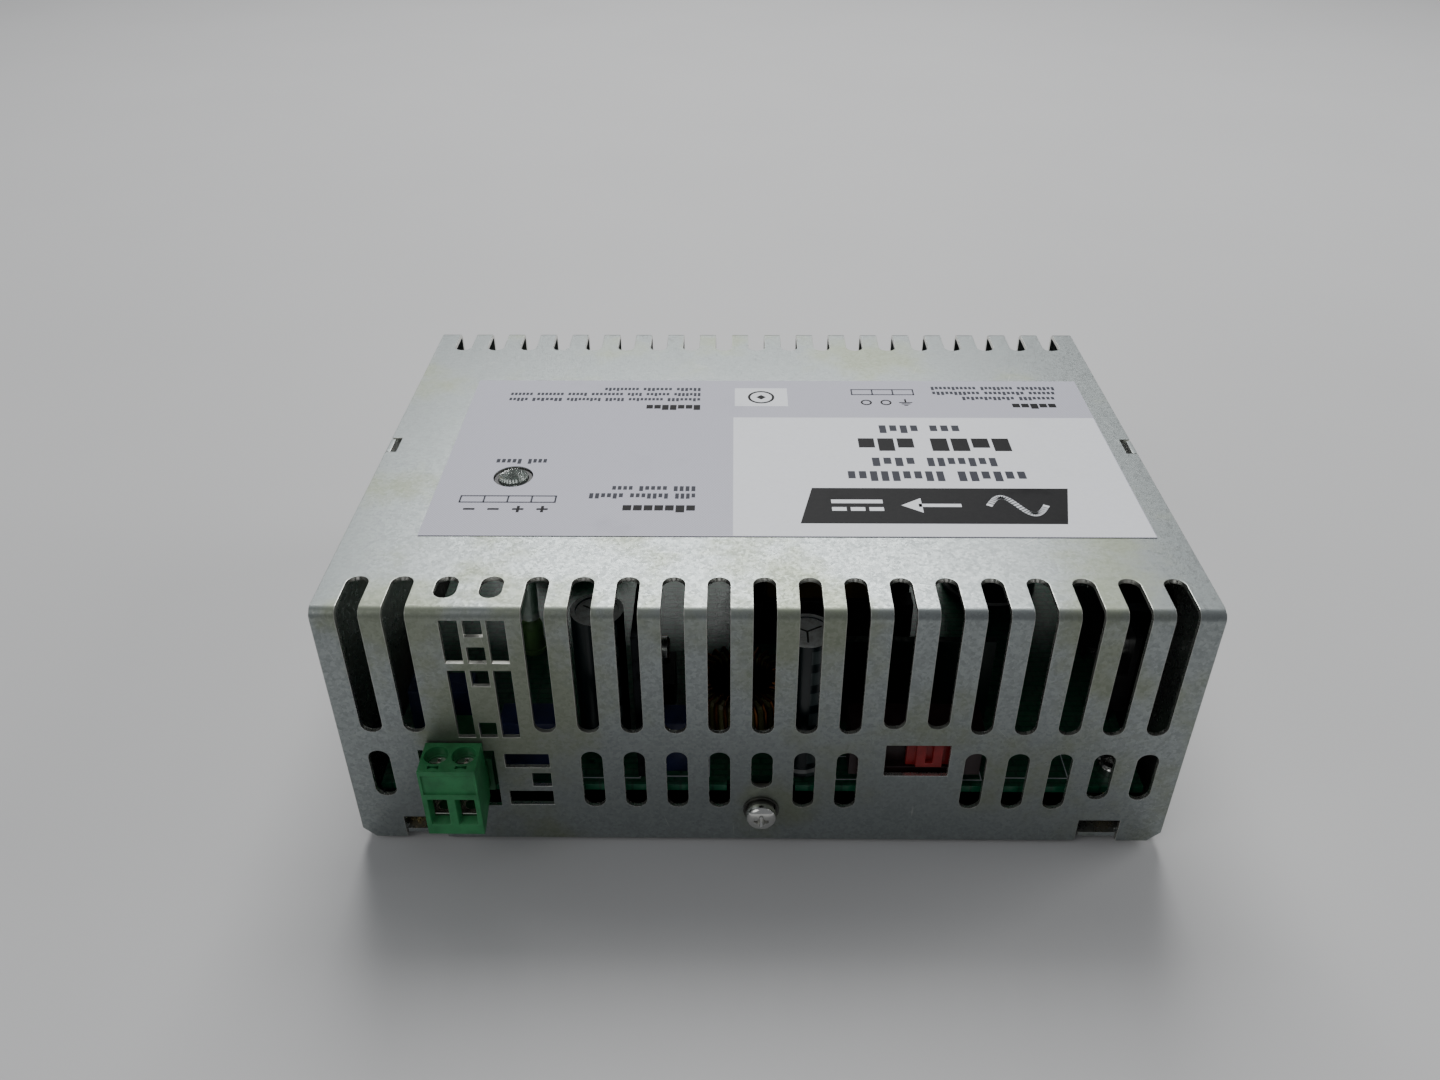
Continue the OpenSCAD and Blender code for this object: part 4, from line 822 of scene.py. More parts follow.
class Shape:
    """Collects the faces of one piece, in millimetres."""

    def __init__(self) -> None:
        """Start with no faces."""
        self.mesh = bmesh.new()
        self.finish_index = 0

    def use(self, index: int) -> Shape:
        """Choose the finish of what is added next.

        Args:
            index: Place of the finish in the list given to make().

        Returns:
            This shape.
        """
        self.finish_index = index
        return self

    def faces(self, points: Iterable[Point], loops: Iterable[Sequence[int]]) -> None:
        """Add points and the faces between them.

        Args:
            points: Corners in millimetres.
            loops: Point numbers round each face.
        """
        corners = [self.mesh.verts.new(Vector(p) * MM) for p in points]
        for loop in loops:
            face = self.mesh.faces.new([corners[i] for i in loop])
            face.material_index = self.finish_index

    def prism(self, outline: Sequence[Flat], low: float, high: float) -> None:
        """Add an upright prism.

        Args:
            outline: Its corners in X and Y, anticlockwise.
            low: Height of its underside.
            high: Height of its top.
        """
        count = len(outline)
        points = [(x, y, z) for z in (low, high) for x, y in outline]
        sides = [(i, (i + 1) % count, (i + 1) % count + count, i + count) for i in range(count)]
        self.faces(points, [tuple(reversed(range(count))), tuple(range(count, 2 * count)), *sides])

    def box(self, low: Point, high: Point) -> None:
        """Add an upright box between two corners.

        Args:
            low: Lowest corner.
            high: Highest corner.
        """
        outline = ((low[0], low[1]), (high[0], low[1]), (high[0], high[1]), (low[0], high[1]))
        self.prism(outline, low[2], high[2])

    def lathe(self, profile: Sequence[Flat], centre: Point, sides: int, pose: Matrix | None = None) -> None:
        """Add a turned solid.

        Args:
            profile: Radius and height of each ring, from one end on the axis to the other.
            centre: Where the axis starts.
            sides: Number of steps round.
            pose: Turn of the axis away from upright.
        """
        turn = pose or Matrix.Identity(3)
        points: list[Point] = []
        rings: list[list[int]] = []
        for radius, height in profile:
            steps = 1 if radius < 1e-6 else sides
            ring = []
            for i in range(steps):
                angle = math.tau * i / sides
                local = turn @ Vector((radius * math.cos(angle), radius * math.sin(angle), height))
                ring.append(len(points))
                points.append(tuple(local + Vector(centre)))
            rings.append(ring)
        loops = []
        for lower, upper in zip(rings, rings[1:]):
            if len(lower) == 1 and len(upper) == 1:
                continue
            for i in range(sides):
                j = (i + 1) % sides
                if len(lower) == 1:
                    loops.append((lower[0], upper[j], upper[i]))
                elif len(upper) == 1:
                    loops.append((lower[i], lower[j], upper[0]))
                else:
                    loops.append((lower[i], lower[j], upper[j], upper[i]))
        self.faces(points, loops)

    def tube(self, path: Sequence[Point], radius: float, sides: int) -> None:
        """Add a round wire along a path.

        Args:
            path: Points of its middle line.
            radius: Radius of the wire.
            sides: Number of steps round it.
        """
        line = [Vector(p) for p in path]
        ahead = (line[1] - line[0]).normalized()
        across = ahead.orthogonal().normalized()
        points: list[Point] = []
        for k, middle in enumerate(line):
            after = line[min(k + 1, len(line) - 1)] - line[max(k - 1, 0)]
            turned = ahead.rotation_difference(after.normalized())
            across = (turned @ across).normalized()
            ahead = after.normalized()
            beside = ahead.cross(across)
            for i in range(sides):
                angle = math.tau * i / sides
                points.append(tuple(middle + radius * (math.cos(angle) * across + math.sin(angle) * beside)))
        last = (len(line) - 1) * sides
        loops = []
        for start in range(0, last, sides):
            for i in range(sides):
                j = (i + 1) % sides
                loops.append((start + i, start + j, start + sides + j, start + sides + i))
        self.faces(points, [*loops, tuple(reversed(range(sides))), tuple(range(last, last + sides))])

    def make(self, name: str, finishes: Sequence[Finish]) -> bpy.types.Object:
        """Turn the faces into an object.

        Args:
            name: The piece's name.
            finishes: Its finishes, in the order that use() counts them.

        Returns:
            The new object.
        """
        data = bpy.data.meshes.new(name)
        bmesh.ops.recalc_face_normals(self.mesh, faces=self.mesh.faces)
        self.mesh.to_mesh(data)
        self.mesh.free()
        for finish in finishes:
            data.materials.append(finish.material())
        made = bpy.data.objects.new(name, data)
        bpy.context.scene.collection.objects.link(made)
        shade_soft(made, SMOOTH_ANGLE)
        return made


def shade_soft(piece: bpy.types.Object, angle: float) -> None:
    """Shade gentle edges smoothly and keep the others sharp.

    Args:
        piece: The object.
        angle: Largest angle in degrees that still shades smoothly.
    """
    piece.data.polygons.foreach_set("use_smooth", [True] * len(piece.data.polygons))
    piece.data.set_sharp_from_angle(angle=math.radians(angle))


def apply_all(piece: bpy.types.Object) -> None:
    """Replace a piece's mesh by what its modifiers make of it."""
    depsgraph = bpy.context.evaluated_depsgraph_get()
    data = bpy.data.meshes.new_from_object(piece.evaluated_get(depsgraph))
    piece.modifiers.clear()
    piece.data = data


def weigh_normals(piece: bpy.types.Object) -> None:
    """Let the large faces set the shading of the rounded edges between them."""
    weigh = piece.modifiers.new("weigh", "WEIGHTED_NORMAL")
    weigh.keep_sharp = True
    weigh.weight = 60
    apply_all(piece)


def round_edges(piece: bpy.types.Object, width: float, segments: int) -> None:
    """Round the sharp edges of a piece.

    Args:
        piece: The object.
        width: Width of the rounding in millimetres.
        segments: Steps across it.
    """
    bevel = piece.modifiers.new("rounding", "BEVEL")
    bevel.width = width * MM
    bevel.segments = segments
    bevel.limit_method = "ANGLE"
    bevel.angle_limit = math.radians(SHARP_ANGLE)
    bevel.use_clamp_overlap = False
    bevel.harden_normals = False
    apply_all(piece)


def settle(piece: bpy.types.Object, body: str, slot: str, stands_for: Sequence[str] = ()) -> bpy.types.Object:
    """Give a piece its body and hide the nodes that it stands for.

    Args:
        piece: The object.
        body: Body it moves with.
        slot: Material slot of the record; not used.
        stands_for: Nodes that it replaces.

    Returns:
        The same object.
    """
    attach(piece, body)
    if stands_for:
        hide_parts(*stands_for)
    log.info("%s rides on %s with %d faces", piece.name, body, len(piece.data.polygons))
    return piece


def softened(node: str, finish: Finish, body: str, slot: str, width: float) -> bpy.types.Object:
    """Make a copy of a node whose sharp edges are rounded, and show it instead.

    Args:
        node: The node to copy.
        finish: Its finish.
        body: Body it moves with.
        slot: Material slot of the record.
        width: Width of the rounding in millimetres.

    Returns:
        The new piece.
    """
    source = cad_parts[node].data
    shape = bmesh.new()
    corners = [shape.verts.new(v.co) for v in source.vertices]
    for face in source.polygons:
        if len(set(face.vertices)) > 2:
            shape.faces.new([corners[i] for i in face.vertices])
    bmesh.ops.remove_doubles(shape, verts=shape.verts, dist=WELD_DISTANCE)
    bmesh.ops.dissolve_degenerate(shape, edges=shape.edges, dist=1e-7)
    bmesh.ops.dissolve_limit(shape, angle_limit=math.radians(0.6), verts=shape.verts, edges=shape.edges)
    data = bpy.data.meshes.new(node + "_shown")
    shape.to_mesh(data)
    shape.free()
    data.materials.append(finish.material())
    made = bpy.data.objects.new(node + "_shown", data)
    bpy.context.scene.collection.objects.link(made)
    round_edges(made, width, 2)
    shade_soft(made, ROUNDED_SMOOTH_ANGLE)
    weigh_normals(made)
    return settle(made, body, slot, (node,))


def paint(node: str, finish: Finish) -> None:
    """Give a node that is shown as it is its finish.

    Args:
        node: The node.
        finish: Its finish.
    """
    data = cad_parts[node].data
    data.materials.clear()
    data.materials.append(finish.material())
    log.info("%s is dressed in %s", node, finish.name)


def middle(node: str) -> Vector:
    """Give the middle of a node's box in millimetres."""
    low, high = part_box(node)
    return (low + high) / (2 * MM)


def span_of(node: str) -> tuple[Vector, Vector]:
    """Give a node's lowest and highest corners in millimetres."""
    low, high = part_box(node)
    return low / MM, high / MM


def stroke(shape: Shape, start: Flat, end: Flat, width: float, low: float, high: float) -> None:
    """Add a straight flat stroke whose ends reach a little further.

    Args:
        shape: The shape to add to.
        start: One end.
        end: The other end.
        width: Width of the stroke.
        low: Height of its underside.
        high: Height of its top.
    """
    along = (Vector(end) - Vector(start)).normalized()
    side = Vector((-along.y, along.x)) * width / 2
    reach = along * width * 0.12
    first, last = Vector(start) - reach, Vector(end) + reach
    shape.prism([tuple(p) for p in (first - side, last - side, last + side, first + side)], low, high)


# ---------------------------------------------------------------- the supply


@dataclass
class LabelPrint:
    """What is printed on the label, as thin layers of ink.

    Attributes:
        layer: Thickness of one layer of ink.
        root: How far the white fields reach into the label.
        panel: Left, near, right and far edges of the white panel.
        patch: The same edges of the small white field.
        banner: Corners of the black banner.
        banner_y: Middle line of the banner's pictogram.
        lines: Left, right, near and far edges, number of words and weight of each line of blocks.
        rng: Source of the blocks' sizes.
    """

    layer: float = 0.015
    root: float = 0.01
    panel: Edges = (-5.6, -34.05, 73.05, 12.05)
    patch: Edges = (-5.3, 17.3, 6.6, 26.0)
    banner: tuple[Flat, ...] = ((7.2, -29.8), (57.7, -29.8), (60.6, -17.1), (10.0, -17.1))
    banner_y: float = -23.4
    lines: tuple[tuple[float, float, float, float, int, int], ...] = (
        (-27.0, -12.6, -26.1, -23.6, 1, 1),
        (-33.9, -12.7, -21.2, -19.3, 3, 0),
        (-29.6, -12.7, -18.4, -16.6, 3, 0),
        (-54.4, -43.7, -8.0, -6.1, 2, 0),
        (17.6, 54.2, -14.4, -10.6, 2, 0),
        (23.0, 49.2, -8.6, -5.2, 2, 0),
        (20.8, 53.4, -2.4, 2.9, 2, 1),
        (25.8, 43.8, 5.2, 8.6, 2, 0),
        (-25.0, -12.7, 15.5, 17.8, 1, 1),
        (-56.2, -12.8, 19.6, 21.1, 6, 0),
        (-56.2, -12.8, 22.1, 23.6, 7, 0),
        (-35.0, -12.8, 24.6, 26.1, 3, 0),
        (56.6, 66.6, 16.4, 18.7, 1, 1),
        (46.0, 67.0, 20.4, 22.0, 2, 0),
        (39.6, 67.6, 22.9, 24.5, 3, 0),
        (39.6, 68.0, 25.3, 26.9, 3, 0),
    )
    rng: random.Random = field(default_factory=lambda: random.Random(11))

    def build(self) -> None:
        """Print the panel, the banner, the pictograms and the lines."""
        top = span_of("rating_label")[1].z
        shape = Shape()
        for left, near, right, far in (self.panel, self.patch):
            shape.use(0).box((left, near, top - self.root), (right, far, top + self.layer))
        ink = top + 2 * self.layer
        shape.use(1).prism(self.banner, top, ink)
        self._banner_pictogram(shape, ink, ink + self.layer)
        self._generic_mark(shape, top, ink)
        for x0, x1, y0, y1, words, bold in self.lines:
            self._greeked(shape.use(1 if bold else 2), (x0, x1, y0, y1), words, bold, top, ink)
        self._cells(shape.use(2), (-59.2, -40.2, -22.8, -20.2), 4, top, ink)
        self._cells(shape.use(2), (21.1, 35.4, 22.8, 25.6), 3, top, ink)
        for place, plus in ((-56.7, False), (-52.0, False), (-47.2, True), (-42.5, True)):
            self._sign(shape.use(1), place, -25.1, plus, top, ink)
        self._earth(shape.use(1), 33.0, 19.2, top, ink)
        for place in (28.6, 24.2):
            self._ring(shape.use(1), (place, 19.2), 1.25, 0.4, top, ink)
        settle(shape.make("label_print", (WHITE, INK_BLACK, INK_GREY)), "case", "label_film")

    def _greeked(self, shape: Shape, box: Edges, words: int, bold: int, low: float, high: float) -> None:
        """Print a line of word blocks that say nothing.

        Args:
            shape: The shape to add to.
            box: Left, right, near and far edges.
            words: Number of blocks.
            bold: 1 for a heavy line, 0 for a light one.
            low: Underside of the ink.
            high: Top of the ink.
        """
        x0, x1, y0, y1 = box
        tallness = y1 - y0
        pitch, fill = (0.8, 0.82) if bold else (0.62, 0.66)
        gap = tallness * 0.55
        shares = [self.rng.uniform(0.6, 1.4) for _ in range(words)]
        room = (x1 - x0) - gap * (words - 1)
        x = x0
        for share in shares:
            width = room * share / sum(shares)
            letters = max(2, round(width / (tallness * pitch)))
            step = width / letters
            for i in range(letters):
                tall = self.rng.random() < 0.35
                thick = step * fill
                rise = tallness * (1.0 if tall else 0.74)
                start = x + i * step
                shape.box((start, y1 - rise, low), (start + thick, y1, high))
            x += width + gap

    def _banner_pictogram(self, shape: Shape, low: float, high: float) -> None:
        """Print a wave, an arrow and two bars: alternating to direct current."""
        steps, y = 28, self.banner_y
        wave_x, wave_length, wave_height = 44.0, 11.0, 3.1
        wave = []
        for k in range(steps + 1):
            share = k / steps
            wave.append((wave_x + wave_length * share, y + wave_height * math.sin(math.tau * share)))
        for start, end in zip(wave, wave[1:]):
            stroke(shape.use(0), start, end, 1.25, low, high)
        stroke(shape, (38.5, y), (30.5, y), 1.1, low, high)
        shape.prism(((31.0, y - 2.6), (31.0, y + 2.6), (27.0, y)), low, high)
        bar_x, bar_length, dash, dash_pitch = 13.5, 10.0, 2.8, 3.6
        shape.box((bar_x, y + 0.7, low), (bar_x + bar_length, y + 2.0, high))
        for k in range(3):
            dash_x = bar_x + dash_pitch * k
            shape.box((dash_x, y - 2.0, low), (dash_x + dash, y - 0.7, high))

    def _generic_mark(self, shape: Shape, low: float, high: float) -> None:
        """Print a plain square in a circle where a mark stood."""
        self._ring(shape.use(1), (0.65, 21.6), 3.0, 0.55, low + self.layer, high)
        shape.prism(((-0.45, 21.6), (0.65, 20.5), (1.75, 21.6), (0.65, 22.7)), low + self.layer, high)

    @staticmethod
    def _cells(shape: Shape, box: Edges, count: int, low: float, high: float) -> None:
        """Print a strip of outlined cells, one per pole.

        Args:
            shape: The shape to add to.
            box: Left, right, near and far edges.
            count: Number of cells.
            low: Underside of the ink.
            high: Top of the ink.
        """
        x0, x1, y0, y1 = box
        pen = 0.32
        shape.box((x0, y0, low), (x1, y0 + pen, high))
        shape.box((x0, y1 - pen, low), (x1, y1, high))
        for k in range(count + 1):
            x = x0 + (x1 - x0 - pen) * k / count
            shape.box((x, y0, low), (x + pen, y1, high))

    @staticmethod
    def _sign(shape: Shape, x: float, y: float, plus: bool, low: float, high: float) -> None:
        """Print a plus or a minus.

        Args:
            shape: The shape to add to.
            x: Middle of the sign.
            y: Middle of the sign.
            plus: Whether it is a plus.
            low: Underside of the ink.
            high: Top of the ink.
        """
        shape.box((x - 1.1, y - 0.28, low), (x + 1.1, y + 0.28, high))
        if plus:
            shape.box((x - 0.28, y - 1.1, low), (x + 0.28, y - 0.28, high))
            shape.box((x - 0.28, y + 0.28, low), (x + 0.28, y + 1.1, high))

    @staticmethod
    def _ring(shape: Shape, centre: Flat, radius: float, pen: float, low: float, high: float) -> None:
        """Print a ring of short strokes.

        Args:
            shape: The shape to add to.
            centre: Its middle.
            radius: Its outer radius.
            pen: Width of its line.
            low: Underside of the ink.
            high: Top of the ink.
        """
        steps = 28
        for k in range(steps):
            a, b = math.tau * k / steps, math.tau * (k + 1) / steps
            corners = [
                (centre[0] + r * math.cos(t), centre[1] + r * math.sin(t))
                for r, t in ((radius - pen, a), (radius, a), (radius, b), (radius - pen, b))
            ]
            shape.prism(corners, low, high)

    @staticmethod
    def _earth(shape: Shape, x: float, y: float, low: float, high: float) -> None:
        """Print an earth sign: a stem and three shrinking bars."""
        shape.box((x - 0.2, y + 0.2, low), (x + 0.2, y + 1.6, high))
        for k, half in enumerate((1.5, 1.0, 0.45)):
            shape.box((x - half, y - 0.2 - 0.65 * k, low), (x + half, y + 0.12 - 0.65 * k, high))


@dataclass
class Case:
    """Chassis, cover and what closes them.

    Attributes:
        edge: Rounding of the sheet's edges.
        head: Radius and height of the screw heads.
        recess: Half length and half width of the cross recess.
        shank: Radius and length of the screws' shanks.
        label: What is printed on the label.
    """

    edge: float = 0.12
    head: Flat = (2.9, 2.2)
    recess: Flat = (1.55, 0.36)
    shank: Flat = (1.45, 6.0)
    label: LabelPrint = field(default_factory=LabelPrint)

    def build(self) -> None:
        """Build the sheet metal, the label and the cover screws."""
        softened("cover", ZINC, "case", "zinc_sheet", self.edge)
        softened("chassis", CHASSIS_ZINC, "case", "zinc_sheet", self.edge)
        paint("rating_label", LAVENDER)
        self.label.build()
        self._cover_screws()
        softened("cover_plain_washers", WASHER_STEEL, "case", "fastener_steel", 0.08)
        softened("cover_lock_washers", WASHER_STEEL, "case", "fastener_steel", 0.1)

    def _cover_screws(self) -> None:
        """Build the two pan-head screws with their cross recesses."""
        low, high = span_of("cover_screws")
        height = middle("cover_screws").z
        radius, rise = self.head
        shank_r, shank_l = self.shank
        heads = []
        for side, face in ((-1, low.y), (1, high.y)):
            turn = Matrix.Rotation(math.radians(90 * -side), 3, "X")
            base = face - side * rise
            shape = Shape()
            angles = (0.0, 0.3, 0.6, 0.9, 1.2)
            dome = [(radius * math.cos(a), rise * (0.45 + 0.55 * math.sin(a))) for a in angles]
            shank = [(0.0, -shank_l), (shank_r - 0.35, -shank_l), (shank_r, 0.4 - shank_l)]
            shank += [(shank_r, 0.0), (radius, 0.0)]
            shape.lathe([*shank, *dome, (0.0, rise)], (0.0, base, height), 48, turn)
            head = shape.make("screw_head_blank", (SCREW_STEEL,))
            cutter = self._recess_cutter((0.0, face, height), turn)
            cut = head.modifiers.new("recess", "BOOLEAN")
            cut.object = cutter
            cut.solver = "EXACT"
            apply_all(head)
            bpy.data.objects.remove(cutter)
            heads.append(head)
        joined = bmesh.new()
        for head in heads:
            joined.from_mesh(head.data)
            bpy.data.objects.remove(head)
        data = bpy.data.meshes.new("cover_screw_pair")
        joined.to_mesh(data)
        joined.free()
        data.materials.append(SCREW_STEEL.material())
        pair = bpy.data.objects.new("cover_screw_pair", data)
        bpy.context.scene.collection.objects.link(pair)
        round_edges(pair, self.edge / 2, 1)
        shade_soft(pair, ROUNDED_SMOOTH_ANGLE)
        settle(pair, "case", "fastener_steel", ("cover_screws",))

    def _recess_cutter(self, centre: Point, turn: Matrix) -> bpy.types.Object:
        """Make the solid that cuts a tapered cross into a head.

        Args:
            centre: Middle of the head's outer face.
            turn: Turn of the head's axis away from upright.

        Returns:
            The cutting solid.
        """
        half, thin = self.recess
        shape = Shape()
        top, floor = 0.3, -1.25
        for swap in (False, True):
            points = []
            for z, share in ((floor, 0.5), (top, 1.1)):
                for sx, sy in ((-1, -1), (1, -1), (1, 1), (-1, 1)):
                    x, y = sx * half * share, sy * thin * (0.8 + 0.2 * share)
                    local = turn @ (Vector((-y, x, z)) if swap else Vector((x, y, z)))
                    points.append(tuple(local + Vector(centre)))
            sides = [(i, (i + 1) % 4, (i + 1) % 4 + 4, i + 4) for i in range(4)]
            shape.faces(points, [(3, 2, 1, 0), (4, 5, 6, 7), *sides])
        ring = [(0.0, floor - 0.25), (0.55, floor + 0.1), (1.05, top), (0.0, top)]
        shape.lathe(ring, centre, 16, turn)
        cutter = shape.make("recess_cutter", (SCREW_STEEL,))
        union = cutter.modifiers.new("whole", "REMESH")
        union.mode = "VOXEL"
        union.voxel_size = 0.06 * MM
        apply_all(cutter)
        return cutter


@dataclass
class StatusLight:
    """Light-emitting diode, clear light pipe and retaining ring.

    Attributes:
        ridges: Number of ridges on the lens.
        radius: Radius of the lens.
        rod: Radius of the rod below it.
    """

    ridges: int = 5
    radius: float = 2.93
    rod: float = 2.0

    def build(self) -> None:
        """Build the ringed lens, the rod and the diode."""
        low, high = span_of("light_pipe")
        axis = middle("light_pipe")
        edge = high.z - 1.1
        profile = [(0.0, low.z), (self.rod, low.z), (self.rod, high.z - 4.6), (self.radius, high.z - 4.2)]
        profile.append((self.radius, edge))
        steps = self.ridges * 6
        for k in range(1, steps):
            share = k / steps
            ripple = 0.11 * math.cos(share * self.ridges * math.tau)
            profile.append((self.radius * (1 - share), edge + 0.85 * math.sin(share * math.pi / 2) + ripple))
        profile.append((0.0, high.z - 0.14))
        shape = Shape()
        shape.lathe(profile, (axis.x, axis.y, 0.0), 64)
        settle(shape.make("light_lens", (LENS,)), "case", "clear_plastic", ("light_pipe",))
        softened("light_pipe_ring", BLACK, "case", "black_plastic", 0.15)
        paint("status_led", LED_GREEN)


@dataclass
class RailClip:
    """Fixed hooks, sprung latch and its guides.

    Attributes:
        edge: Rounding of the clip's edges.
        turns: Turns of the spring.
        wire: Radius of the spring's wire.
        dead: Share of the turns that lies flat at each end.
        keep: Share of its length that the spring keeps when the latch is pulled; not used.
    """

    edge: float = 0.15
    turns: int = 9
    wire: float = 0.24
    dead: float = 0.08
    keep: float = 0.625

    def build(self) -> None:
        """Build the clip's sheet parts and the spring."""
        for hook in ("rail_hook_left", "rail_hook_right"):
            softened(hook, CLIP_ZINC, "case", "clip_steel", self.edge)
        softened("latch_guides", CLIP_ZINC, "case", "clip_steel", self.edge)
        softened("rail_latch", CLIP_ZINC, "latch", "clip_steel", self.edge)
        softened("clip_rivets", SCREW_STEEL, "case", "fastener_steel", 0.3)
        self._spring()

    def _spring(self) -> None:
        """Wind the spring."""
        low, high = span_of("latch_spring")
        axis = middle("latch_spring")
        coil = (high.x - low.x) / 2 - self.wire
        start, end = low.y + self.wire, high.y - self.wire
        steps = self.turns * 22
        path = []
        for k in range(steps + 1):
            share = k / steps
            flat = min(1.0, max(0.0, (share - self.dead) / (1 - 2 * self.dead)))
            angle = math.tau * self.turns * share
            along = start + (end - start) * flat
            path.append((axis.x + coil * math.cos(angle), along, axis.z + coil * math.sin(angle)))
        shape = Shape()
        shape.tube(path, self.wire, WIRE_SIDES)
        spring = shape.make("latch_coil", (SPRING_STEEL,))
        settle(spring, "case", "spring_wire", ("latch_spring",))
        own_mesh(spring)


@dataclass
class Connector:
    """A header on the board and the plug pushed into it.

    Attributes:
        side: Name of the side, output or input.
        poles: Number of poles.
    """

    side: str
    poles: int

    def build(self) -> None:
        """Build the mouldings and dress their metal."""
        plug_body = self.side + "_plug"
        softened(self.side + "_header", HEADER_GREEN, "case", "connector_green", 0.12)
        softened(plug_body, TERMINAL_GREEN, plug_body, "connector_green", 0.14)
        paint(self.side + "_header_pins", TINNED)
        paint(self.side + "_plug_contacts", TINNED)
        for pole in range(1, self.poles + 1):
            screw, cage = f"{self.side}_clamp_screw_{pole}", f"{self.side}_clamp_cage_{pole}"
            softened(screw, CLAMP_STEEL, f"{self.side}_screw_{pole}", "clamp_steel", 0.07)
            softened(cage, CLAMP_STEEL, f"{self.side}_cage_{pole}", "clamp_steel", 0.1)


@dataclass
class Selector:
    """Voltage selector: red body darkened to near-black as painted shade, and red knob."""

    def build(self) -> None:
        """Build both mouldings."""
        softened("selector_body", SELECTOR_PAINTED_SHADE, "case", "dark_red_plastic", 0.15)
        softened("selector_slider", SELECTOR_RED, "selector_knob", "red_plastic", 0.14)


@dataclass
class BoardSet:
    """Circuit board with its fixings, insulation and printed marks.

    Attributes:
        marks: Left, near, right and far edges of the printed outlines.
        pen: Width of their lines.
        ink: Thickness of the print.
    """

    marks: tuple[Edges, ...] = (
        (-39.0, -52.5, -23.5, -41.5),
        (-19.0, -52.0, -10.0, -43.0),
        (14.5, -52.6, 43.0, -46.2),
        (46.0, -52.0, 60.0, -45.0),
        (-72.0, -52.0, -66.5, -43.0),
    )
    pen: float = 0.22
    ink: float = 0.03

    def build(self) -> None:
        """Dress the board and its fixings, and print outlines on it."""
        softened("circuit_board", BOARD, "case", "board_green", 0.1)
        softened("board_screws", SCREW_STEEL, "case", "fastener_steel", 0.1)
        paint("board_standoffs", BRASS)
        paint("insulation_sheet", SHEET_FILM_PAINTED_SHADE)
        top = span_of("circuit_board")[1].z
        shape = Shape()
        pen = self.pen
        for x0, y0, x1, y1 in self.marks:
            for low, high in (
                ((x0, y0), (x1, y0 + pen)),
                ((x0, y1 - pen), (x1, y1)),
                ((x0, y0 + pen), (x0 + pen, y1 - pen)),
                ((x1 - pen, y0 + pen), (x1, y1 - pen)),
            ):
                shape.box((*low, top), (*high, top + self.ink))
        settle(shape.make("board_outlines", (WHITE,)), "case", "board_green")


def toroid_path(
    centre: Point, inner: float, outer: float, height: float, arc: Flat, turns: int
) -> list[Point]:
    """Give the path of a wire wound round a ring of square section.

    Args:
        centre: Middle of the ring's underside.
        inner: Inner radius of the winding's middle line.
        outer: Outer radius of it.
        height: Height of it.
        arc: First and last angle in degrees.
        turns: Number of turns.

    Returns:
        Points along the wire.
    """
    corner = 0.6
    lap = ((inner, 0.12), (inner, 0.5), (inner, 0.88), (inner + corner, 1.0), (outer - corner, 1.0))
    lap += ((outer, 0.88), (outer, 0.5), (outer, 0.12), (outer - corner, 0.0), (inner + corner, 0.0))
    count = turns * len(lap)
    path = []
    for k in range(count + 1):
        radius, rise = lap[k % len(lap)]
        angle = math.radians(arc[0] + (arc[1] - arc[0]) * k / count)
        x, y = centre[0] + radius * math.cos(angle), centre[1] + radius * math.sin(angle)
        path.append((x, y, centre[2] + height * rise))
    return path


